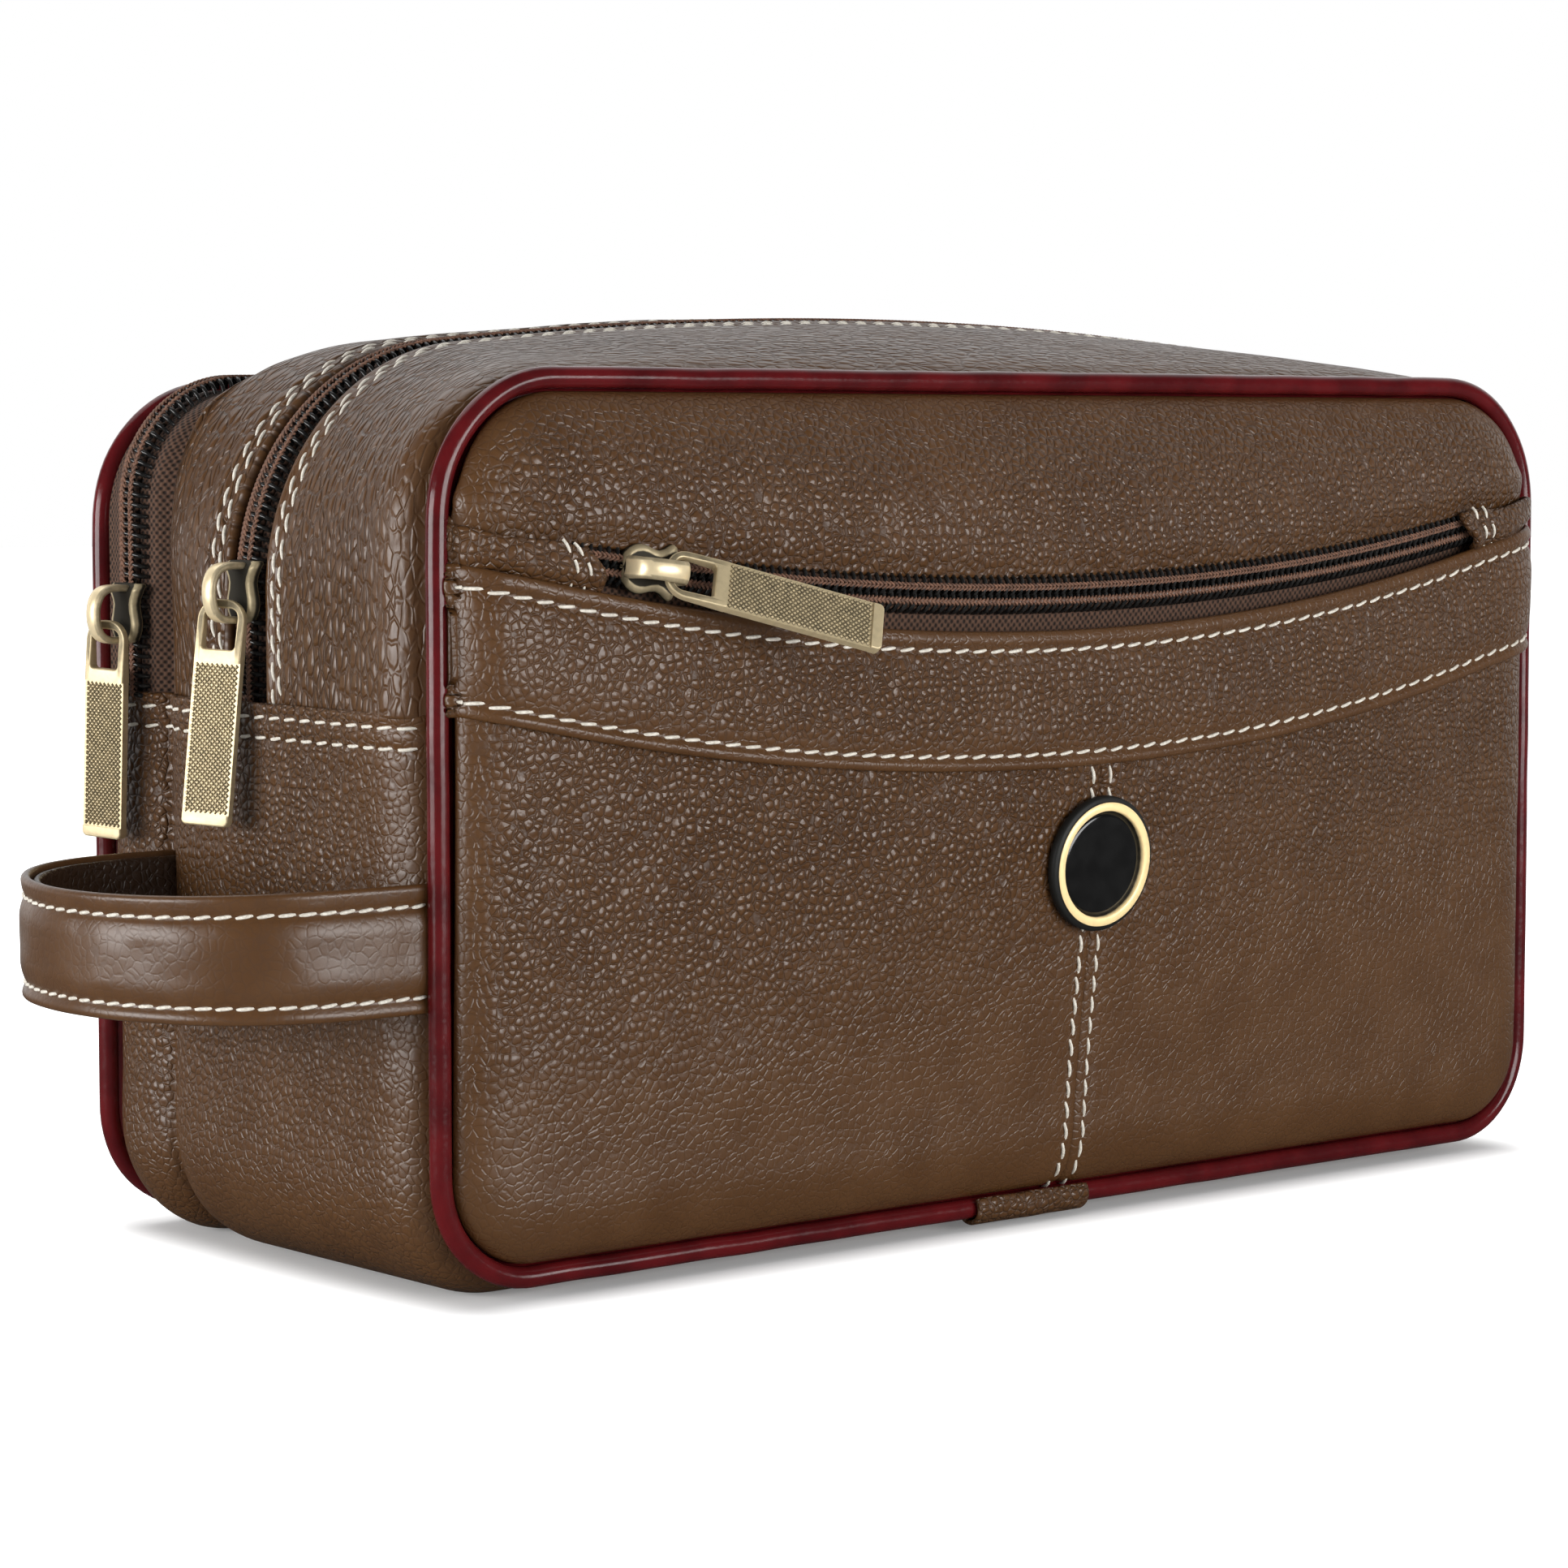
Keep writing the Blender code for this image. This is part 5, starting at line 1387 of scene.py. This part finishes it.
def sliderPlate():
    # The cast top plate, with flanges that turn down over the coil
    def place(u, v):
        y = lerp(-slider["length"] / 2, slider["length"] / 2, v)
        half = sliderHalf(y)
        across = 2 * u - 1
        out, level, corner = np.abs(across), 0.62, 1.0 * mm
        turn = np.clip((out - level) / 0.38, 0, 1)
        bend = turn * math.pi / 2
        flat = half - corner
        x = np.where(out < level, out / level * flat, flat + corner * np.sin(bend))
        lip = slider["flange"] * ease((turn - 0.5) * 2)
        drop = np.where(turn > 0, corner * (1 - np.cos(bend)) + lip, 0.0)
        nose = 0.5 * mm * ease((np.abs(2 * v - 1) - 0.8) / 0.2)
        return xyz(np.sign(across) * x, y, slider["top"] - drop - nose)

    return sheetData(place, stops(36), stops(48), slider["plate"], rim=4)


def sliderFoot():
    def place(u, v):
        y = lerp(slider["length"] / 2, -slider["length"] / 2, v)
        return xyz((2 * u - 1) * sliderHalf(y) * 0.94, y, slider["low"])

    return sheetData(place, stops(10), stops(24), 0.9 * mm, rim=4)


def sliderPost():
    # Wedge that parts the chain, between the two plates
    def place(u, v):
        angle = 2 * math.pi * u
        wide = 0.28 * mm * (1 + 0.15 * np.cos(2 * angle))
        return xyz(wide * np.cos(angle), -2.6 * mm + 1.4 * mm * np.sin(angle), lerp(-1.8 * mm, 2.8 * mm, v))

    us, vs = np.linspace(0, 1, 17)[:-1], np.linspace(0, 1, 4)
    u, v = np.meshgrid(us, vs)
    points = place(u, v).reshape(-1, 3)
    ids = np.arange(64).reshape(4, 16)
    ahead = np.roll(ids, -1, axis=1)
    faces = np.stack([ids[:-1], ahead[:-1], ahead[1:], ids[1:]], -1).reshape(-1, 4)
    half = np.arange(7)
    top, foot = ids[-1], ids[0]
    topCap = np.stack([top[half], top[half + 1], top[14 - half], top[15 - half]], 1)
    footCap = np.stack([foot[half + 1], foot[half], foot[15 - half], foot[14 - half]], 1)
    return {"points": points, "faces": np.concatenate([faces, topCap, footCap])}


def bridgeBand():
    # A flat band that arches over the slider, broad at its root and narrower at its nose
    def place(u, v):
        angle = math.pi * (1 - v)
        half = slider["bridgeHalf"] * (0.92 + 0.16 * v)
        y = -slider["bridgeReach"] * np.cos(math.pi * v)
        z = slider["top"] + bag["gap"] + slider["bridgeRise"] * np.sqrt(np.maximum(0.0, np.sin(angle)))
        crown = 0.35 * mm * (2 * u - 1) ** 2
        return xyz((2 * u - 1) * half, y, z - crown)

    vs = 0.5 - 0.5 * np.cos(math.pi * np.linspace(0, 1, 41))
    return sheetData(place, stops(12), vs, slider["bridgeWall"], rim=6)


def outlinePoints(half, top, low, topRadius, lowRadius, steps):
    topX, topY = half - topRadius, top - topRadius
    lowX, lowY = half - lowRadius, low + lowRadius
    corners = ((topX, topY, topRadius, 0), (-topX, topY, topRadius, 90),
               (-lowX, lowY, lowRadius, 180), (lowX, lowY, lowRadius, 270))
    points = []
    for x, y, radius, start in corners:
        for step in range(steps + 1):
            angle = math.radians(start + 90 * step / steps)
            points.append((x + radius * math.cos(angle), y + radius * math.sin(angle)))
    return points


def plateMesh(name, outlines, half, rounding, resolution):
    # A flat outline, drawn in by its rounding, that the rounded edges bring out to size
    curve = bpy.data.curves.new(name, "CURVE")
    curve.dimensions = "2D"
    curve.fill_mode = "BOTH"
    curve.extrude = half - rounding
    curve.bevel_depth = rounding
    curve.bevel_resolution = resolution
    for points in outlines:
        spline = curve.splines.new("POLY")
        spline.points.add(len(points) - 1)
        spline.use_cyclic_u = True
        for slot, (x, y) in zip(spline.points, points):
            slot.co = (x, y, 0.0, 1.0)
    holder = bpy.data.objects.new(name, curve)
    bpy.context.scene.collection.objects.link(holder)
    graph = bpy.context.evaluated_depsgraph_get()
    mesh = bpy.data.meshes.new_from_object(holder.evaluated_get(graph))
    bpy.data.objects.remove(holder)
    bm = bmesh.new()
    bm.from_mesh(mesh)
    bmesh.ops.remove_doubles(bm, verts=bm.verts, dist=1e-6)
    bmesh.ops.recalc_face_normals(bm, faces=bm.faces)
    bm.to_mesh(mesh)
    bm.free()
    return mesh


def sinkBox(name, low, high):
    bpy.ops.mesh.primitive_cube_add(size=1.0)
    box = bpy.context.object
    box.name = name
    box.dimensions = [h - l for l, h in zip(low, high)]
    box.location = [(l + h) / 2 for l, h in zip(low, high)]
    return box


def pullMesh(name):
    # A ring that is thinner where it hangs on the bridge, a neck, and a sunk field on both faces
    edge, half, top = pull["edge"], pull["half"], pull["top"]
    low, thick = top - pull["length"], pull["thick"] / 2
    topRound, lowRound = pull["topRound"] - edge, pull["lowRound"] - edge
    outer = outlinePoints(half - edge, top - edge, low + edge, topRound, lowRound, 8)
    wide, foot = pull["windowHalf"] + edge, pull["windowLow"] - edge
    window = outlinePoints(wide, -top + edge, foot, 1.5 * mm + edge, 0.7 * mm + edge, 6)
    base = bpy.data.objects.new(name, plateMesh(name, [outer, window], thick, edge, 3))
    bpy.context.scene.collection.objects.link(base)
    fieldLow, wide = low + pull["lip"], 2 * half
    sinks = []
    for side in (1, -1):
        near, far = sorted((side * (thick - pull["sunk"]), side * 2 * thick))
        sinks.append(sinkBox(name + ".sink", (-wide, fieldLow, near), (wide, pull["field"], far)))
        modifier = base.modifiers.new("sink", "BOOLEAN")
        modifier.operation = "DIFFERENCE"
        modifier.object = sinks[-1]
    graph = bpy.context.evaluated_depsgraph_get()
    mesh = bpy.data.meshes.new_from_object(base.evaluated_get(graph))
    for used in (base, *sinks):
        bpy.data.objects.remove(used)
    floor = thick - pull["sunk"]
    values = []
    for vert in mesh.vertices:
        inField = fieldLow + 0.02 * mm < vert.co.y < pull["field"] - 0.02 * mm
        onRing = vert.co.y > pull["windowLow"] + 0.4 * mm
        onFace = abs(vert.co.z) > thick - 0.02 * mm
        values.append(0.15 if inField else 0.35 if onRing and onFace else 0.95)
        thin = ease((vert.co.y + 4.4 * mm) / (2 * mm))
        vert.co.z *= lerp(1.0, pull["bar"] / pull["thick"], thin)
    mesh.attributes.new("polish", "FLOAT", "POINT").data.foreach_set("value", values)
    return mesh, (pull["field"] + fieldLow) / 2, (pull["field"] - fieldLow) / 2, floor


def joined(name, meshes):
    bm = bmesh.new()
    for mesh in meshes:
        bm.from_mesh(mesh)
    whole = bpy.data.meshes.new(name)
    bm.to_mesh(whole)
    bm.free()
    return whole


def makePull(name, matrix):
    plate, middle, halfField, floor = pullMesh(name)
    values = {"Half Width": pull["half"] - 0.45 * mm, "Half Length": halfField - 0.35 * mm}
    seed = bpy.data.meshes.new("seed")
    knurl = grow(name + "_knurl", seed, knurledField, values, antiqueBrass)
    meshes = [plate]
    for side, flip in ((1, 0), (-1, math.pi)):
        field = knurl.copy()
        field.transform(Matrix.Translation((0, middle, side * floor)) @ Matrix.Rotation(flip, 4, "Y"))
        meshes.append(field)
    whole = joined(name, meshes)
    whole.transform(matrix)
    piece = linkPiece(name + "_plate", whole, antiqueBrass)
    whole.set_sharp_from_angle(angle=math.radians(35))
    dress(piece, name, "antique_brass", name)


def makeSlider(name, place):
    def bodyPolish(points):
        local = inFrame(points, place)
        rim = np.abs(np.abs(local[:, 0]) - sliderHalf(local[:, 1]) + 0.6 * mm) < 0.5 * mm
        return np.where(rim, 0.6, -0.1)

    body = [moved(part, place) for part in (sliderPlate(), sliderFoot(), sliderPost())]
    piece = addPiece(f"{name}_slider_casting", body, antiqueBrass, bodyPolish)
    dress(piece, f"{name}_slider", "antique_brass", f"{name}_slider_body")

    def bridgePolish(points):
        local = inFrame(points, place)
        return np.where(np.abs(local[:, 0]) < slider["bridgeHalf"] * 0.8, 1.0, 0.45)

    bridge = addPiece(f"{name}_slider_bridge_band", [moved(bridgeBand(), place)], brightBrass, bridgePolish)
    dress(bridge, f"{name}_slider", "bright_brass", f"{name}_slider_bridge")
    lie, lean, roll = (math.radians(angle) for angle in pullPose[name])
    root = pull["hang"] if abs(lie) < math.pi / 2 else -pull["hang"]
    hang = Matrix.Translation((0, root, pull["height"])) @ Matrix.Rotation(lie, 4, "Z")
    hang = hang @ Matrix.Rotation(-lean, 4, "X") @ Matrix.Rotation(roll, 4, "Y")
    makePull(f"{name}_pull", place @ hang)


def makeSliders():
    up, left = Vector((0, 0, 1)), Vector((-1, 0, 0))
    mainPlace = Vector((pocket["tapeDrop"] - mainZip["end"], bag["zipMiddle"], mainZip["spring"]))
    makeSlider("main", frameOf(mainPlace, up, left))
    low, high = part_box("back_slider_body")
    backPlace = Vector((-backZip["end"], zipLook["backMiddle"], (low.z + high.z) / 2))
    makeSlider("back", frameOf(backPlace, up, left))
    middle = Vector((pocket["middle"], pocketTape(), pocket["height"]))
    flat = frameOf(middle, Vector((1, 0, 0)), Vector((0, -1, 0)))
    makeSlider("pocket", pocketMatrix(-92.5 * mm) @ flat)


makeSliders()
print("sliders made")


# Badge: a turned metal disc with a plain domed enamel field

badge = {"x": 3.6 * mm, "height": 62.7 * mm, "radius": 11.65 * mm, "ringIn": 9.2 * mm, "ringOut": 10.75 * mm,
         "steps": 96}


def turnedData(profile, steps):
    # Spins (radius, height) pairs, given from the outer face round to the back, about Z
    radius, height = np.array(profile).T
    angle = np.linspace(0, 2 * math.pi, steps, endpoint=False)[:, None]
    points = xyz(radius * np.cos(angle), radius * np.sin(angle), height).reshape(-1, 3)
    ids = np.arange(steps * len(profile)).reshape(steps, len(profile))
    ahead = np.roll(ids, -1, axis=0)
    faces = np.stack([ids[:, :-1], ids[:, 1:], ahead[:, 1:], ahead[:, :-1]], -1).reshape(-1, 4)
    return {"points": points, "faces": faces}


def weldPiece(piece):
    bm = bmesh.new()
    bm.from_mesh(piece.data)
    bmesh.ops.remove_doubles(bm, verts=bm.verts, dist=1e-7)
    bmesh.ops.recalc_face_normals(bm, faces=bm.faces)
    bm.to_mesh(piece.data)
    bm.free()


def makeBadge():
    heights = [np.float64(badge["height"] + step) for step in (0.0, 4 * mm, -4 * mm)]
    middle, above, below = (frontFace(badge["x"], height) for height in heights)
    up = Vector(above - below).normalized()
    place = frameOf(Vector(middle), up, Vector((1, 0, 0)).cross(up))
    rim, ringIn, ringOut = badge["radius"], badge["ringIn"], badge["ringOut"]
    # Across the face, over the ring, round the rim and back to the middle
    profile = [(0.0, 1.3 * mm), (ringIn - 0.1 * mm, 1.3 * mm), (ringIn, 2.35 * mm),
               (ringIn + 0.2 * mm, 2.5 * mm), (ringOut - 0.1 * mm, 2.5 * mm), (ringOut, 2.3 * mm),
               (ringOut + 0.15 * mm, 2.2 * mm), (rim - 0.35 * mm, 2.1 * mm), (rim - 0.08 * mm, 1.85 * mm),
               (rim, 1.5 * mm), (rim, 0.8 * mm), (rim - 0.3 * mm, 0.4 * mm), (0.0, 0.4 * mm)]

    def polish(points):
        local = inFrame(points, place)
        radius = np.hypot(local[:, 0], local[:, 1])
        return np.where((radius > ringIn - 0.05 * mm) & (radius < ringOut - 0.05 * mm), 1.0, -0.5)

    body = addPiece("badge_body_disc", [moved(turnedData(profile, badge["steps"]), place)], ringGold, polish)
    weldPiece(body)
    dress(body, "bag", "antique_brass", "badge_body")
    dome = [(ringIn * s, (1.75 + 0.35 * (1 - s * s)) * mm) for s in np.linspace(0, 0.985, 9)]
    dome += [(ringIn * 0.985, 1.35 * mm), (0.0, 1.35 * mm)]
    inlay = addPiece("badge_inlay_dome", [moved(turnedData(dome, badge["steps"]), place)], enamel)
    weldPiece(inlay)
    dress(inlay, "bag", "black_enamel", "badge_inlay")


makeBadge()
print("badge made")


# Strap handle: a folded outer layer over an inner one in a darker copy of the hide, painted as shade, sewn
# along both edges

handle = {"low": 47.5 * mm, "high": 66 * mm, "rootX": -126.4 * mm, "reach": 41.2 * mm, "frontY": -45 * mm,
          "rearY": 25 * mm, "outer": 1.5 * mm, "rowLow": 1.8 * mm, "rowHigh": 2.6 * mm, "droop": 0.9 * mm,
          "taut": 0.75, "offset": 1.5 * mm, "inset": 0.6 * mm}


def handleLine(share):
    angle = math.pi * share
    half = (handle["rearY"] - handle["frontY"]) / 2
    y = (handle["rearY"] + handle["frontY"]) / 2 - half * np.cos(angle)
    return xyz(handle["rootX"] - handle["reach"] * np.maximum(0.0, np.sin(angle)) ** 0.6, y, 0.0)


def strip(offset, low, high):
    def place(u, v):
        share = 1.0 - u
        step = 0.0005
        ahead = handleLine(np.minimum(1.0, share + step)) - handleLine(np.maximum(0.0, share - step))
        outward = unit(xyz(-ahead[..., 1], ahead[..., 0], 0.0))
        point = handleLine(share) + outward * offset
        point[..., 0] = np.minimum(point[..., 0], handle["rootX"])
        point[..., 2] = lerp(low, high, v) - handle["droop"] * v * np.sin(math.pi * share) ** 2
        return point

    return place


def makeHandle():
    wide = handle["high"] - handle["low"]

    def relief(u, v, points):
        near = np.minimum(v, 1 - v) * wide
        within = np.minimum(v * wide - handle["rowLow"], (1 - v) * wide - handle["rowHigh"])
        rows = bell(within, 0.8 * mm)
        fill = 0.5 * mm * ease(within / (3.5 * mm)) + 0.15 * mm * bell(near, 1.0 * mm)
        waves = 0.25 * mm * swell(points, 11 * mm, 111) + 0.12 * mm * swell(points, 4 * mm, 112)
        return fill - 0.4 * mm * rows + waves * ease(near / (3 * mm))

    def taut(points):
        return np.full(points.shape[:-1], handle["taut"])

    us = 1 - evenStops(handleLine, 200)[::-1]
    lowRow, highRow = handle["rowLow"] / wide, 1 - handle["rowHigh"] / wide
    vs = stops(26, (0.0, lowRow, highRow, 1.0), 0.06, 8)
    outerPlace = strip(handle["offset"], handle["low"], handle["high"])
    outer = sheetData(outerPlace, us, vs, handle["outer"], relief, rim=6, taut=taut)
    depth = handle["offset"] - handle["outer"] - bag["gap"]
    innerPlace = strip(depth, handle["low"] + handle["inset"], handle["high"] - handle["inset"])
    inner = sheetData(innerPlace, us, stops(22), bag["leather"], rim=6)
    dress(addPiece("handle_outer_hide", [outer], strapLeather), "bag", "leather", "handle_outer")
    dress(addPiece("handle_inner_hide", [inner], shadedInsideLeather), "bag", "leather", "handle_inner")
    lines = [rowAlongU(outer, share, 0.002, 0.998) for share in (lowRow, highRow)]
    sew("handle_stitching", lines, Pitch=3.2 * mm, Length=2.6 * mm, Slant=0.12)


makeHandle()
print("handle made")


# What is inside: cloth linings, boards and the badge's washer

liningForm = {"passes": 3, "longest": 8 * mm, "fold": math.radians(50)}


def makeLining(node):
    # The lining's solid, cut finer, with a weave laid flat along its faces
    bm = bmesh.new()
    bm.from_mesh(frame["nodes"][node].data)
    bmesh.ops.remove_doubles(bm, verts=bm.verts, dist=1e-6)
    for _ in range(liningForm["passes"]):
        long = [edge for edge in bm.edges if edge.calc_length() > liningForm["longest"]]
        bmesh.ops.subdivide_edges(bm, edges=long, cuts=1)
        bmesh.ops.triangulate(bm, faces=bm.faces)
    bm.normal_update()
    area = sum(face.calc_area() for face in bm.faces) / 2
    chart = bm.loops.layers.uv.new("UVMap")
    for face in bm.faces:
        away = max(range(3), key=lambda axis: abs(face.normal[axis]))
        kept = [axis for axis in range(3) if axis != away]
        for loop in face.loops:
            loop[chart].uv = [loop.vert.co[axis] for axis in kept]
    mesh = bpy.data.meshes.new(node + "_cloth")
    bm.to_mesh(mesh)
    bm.free()
    piece = linkPiece(node + "_cloth", mesh, liningCloth)
    mesh.set_sharp_from_angle(angle=liningForm["fold"])
    dress(piece, "bag", "lining_cloth", node)
    low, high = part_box(node)
    wide = high.y - low.y if node.endswith("gusset") else high.x - low.x
    long = max(high.z - low.z, area / wide)


for node in ("main_lining_gusset", "main_lining_front", "back_lining_gusset", "back_lining_rear",
             "pocket_bag", "divider_panel"):
    makeLining(node)
for material, names in ((boardCard, ("back_stiffener", "base_board")), (washerSteel, ("badge_washer",))):
    for name in names:
        frame["nodes"][name].data.materials.clear()
        frame["nodes"][name].data.materials.append(material)
print("inside made")


# Floor, light and camera

# The glow left close to the footprint is the depth of a painted contact shadow
floorLook = {"size": 8.0, "tone": 0.93, "rough": 0.9, "footprint": (0.117, 0.046, 0.0), "fade": 0.018,
             "paintedShadowGlow": 0.12, "dimFrom": 0.1, "dimTo": 0.75, "dim": 0.85}
worldLook = {"darkTo": 0.15, "whiteFrom": 0.85, "dark": 0.04, "soft": 0.52}
# Which way counts as behind the bag, as the bag is set to the light
behind = (0.64, 0.77, 0.0)
# Place, target, width, height and power of each soft box
lamps = {
    "leftBox": ((-1.04, 0.16, 0.17), (-0.02, 0.0, 0.04), 0.9, 0.42, 10.4),
    "frontBox": ((0.20, -1.03, 0.16), (0.0, 0.0, 0.04), 0.86, 0.40, 9.2),
    "topBox": ((-0.05, 0.45, 0.95), (0.0, 0.0, 0.07), 0.8, 0.6, 1.8),
}
view = {"sensor": 36.0, "lens": 99.8, "place": (-512.86 * mm, -585.57 * mm, 135.01 * mm),
        "target": (-16.177 * mm, 0.0, 73.475 * mm)}


def depthInto(add, spot):
    # How far a place or a direction lies behind the bag
    return add("ShaderNodeVectorMath", {0: spot, 1: behind}, operation="DOT_PRODUCT").outputs["Value"]


def makeStage():
    # A pale floor with a painted contact shadow: its glow to the camera is low about the bag's footprint and
    # whiter away from it, and its near side is dim in reflections
    look = floorLook
    bpy.ops.mesh.primitive_grid_add(x_subdivisions=8, y_subdivisions=8, size=look["size"])
    floor = bpy.context.object
    floor.name = "floor"
    material, add, shader = newMaterial("paleFloor", look["rough"])
    shader.inputs["Base Color"].default_value = (look["tone"], look["tone"], look["tone"], 1.0)
    tree = material.node_tree
    calc = mathAdder(add)
    spot = add("ShaderNodeTexCoord").outputs["Object"]
    past = vectors(add, "SUBTRACT", vectors(add, "ABSOLUTE", spot), look["footprint"])
    clear = vectors(add, "MAXIMUM", past)
    away = add("ShaderNodeVectorMath", {0: clear}, operation="LENGTH").outputs["Value"]
    path = add("ShaderNodeLightPath").outputs
    # Painted contact shadow: the glow that the camera sees falls from white to a low level within the fade of
    # the footprint
    glowPastPaintedShadow = remap(add, away, 0.0, look["fade"], look["paintedShadowGlow"], 1.0)
    glow = calc("MULTIPLY", path["Is Camera Ray"], glowPastPaintedShadow)
    white = add("ShaderNodeEmission", {"Color": (1, 1, 1, 1), "Strength": glow}).outputs[0]
    lit = add("ShaderNodeAddShader", {0: shader.outputs[0], 1: white}).outputs[0]
    nearSide = remap(add, depthInto(add, spot), look["dimTo"], look["dimFrom"], 0.0, look["dim"])
    dim = calc("MULTIPLY", path["Is Glossy Ray"], nearSide)
    dark = add("ShaderNodeEmission", {"Strength": 0.0}).outputs[0]
    both = add("ShaderNodeMixShader", {0: dim, 1: lit, 2: dark}).outputs[0]
    tree.links.new(both, tree.nodes["Material Output"].inputs["Surface"])
    floor.data.materials.append(material)


def makeWorld():
    # White behind the bag and dim on the camera's side in reflections, an even grey for soft light
    look = worldLook
    world = bpy.data.worlds.new("studio")
    bpy.context.scene.world = world
    world.use_nodes = True
    add = nodeAdder(world.node_tree)
    calc = mathAdder(add)
    sky = world.node_tree.nodes["Background"]
    path = add("ShaderNodeLightPath").outputs
    ahead = depthInto(add, add("ShaderNodeTexCoord").outputs["Generated"])
    bright = remap(add, ahead, look["darkTo"], look["whiteFrom"], look["dark"], 1.0)
    mirrored = calc("MULTIPLY", path["Is Glossy Ray"], bright)
    soft = calc("MULTIPLY", calc("SUBTRACT", 1.0, path["Is Glossy Ray"]), look["soft"])
    seen = calc("MAXIMUM", path["Is Camera Ray"], path["Is Transmission Ray"])
    world.node_tree.links.new(calc("MAXIMUM", calc("ADD", mirrored, soft), seen), sky.inputs["Strength"])
    sky.inputs["Color"].default_value = (1, 1, 1, 1)


def makeLamp(name, place, target, wide, tall, power):
    light = bpy.data.lights.new(name, "AREA")
    light.shape = "RECTANGLE"
    light.size, light.size_y = wide, tall
    light.energy = power
    lamp = bpy.data.objects.new(name, light)
    bpy.context.scene.collection.objects.link(lamp)
    lamp.location = place
    lamp.rotation_euler = (Vector(target) - Vector(place)).to_track_quat("-Z", "Y").to_euler()


def makeCamera():
    data = bpy.data.cameras.new("camera")
    data.sensor_width = view["sensor"]
    data.lens = view["lens"]
    camera = bpy.data.objects.new("camera", data)
    bpy.context.scene.collection.objects.link(camera)
    camera.location = view["place"]
    aim = Vector(view["target"]) - camera.location
    camera.rotation_euler = aim.to_track_quat("-Z", "Y").to_euler()
    bpy.context.scene.camera = camera


makeStage()
makeWorld()
for name, form in lamps.items():
    makeLamp(name, *form)
makeCamera()
bpy.context.scene.view_settings.view_transform = "Standard"
print("stage made")
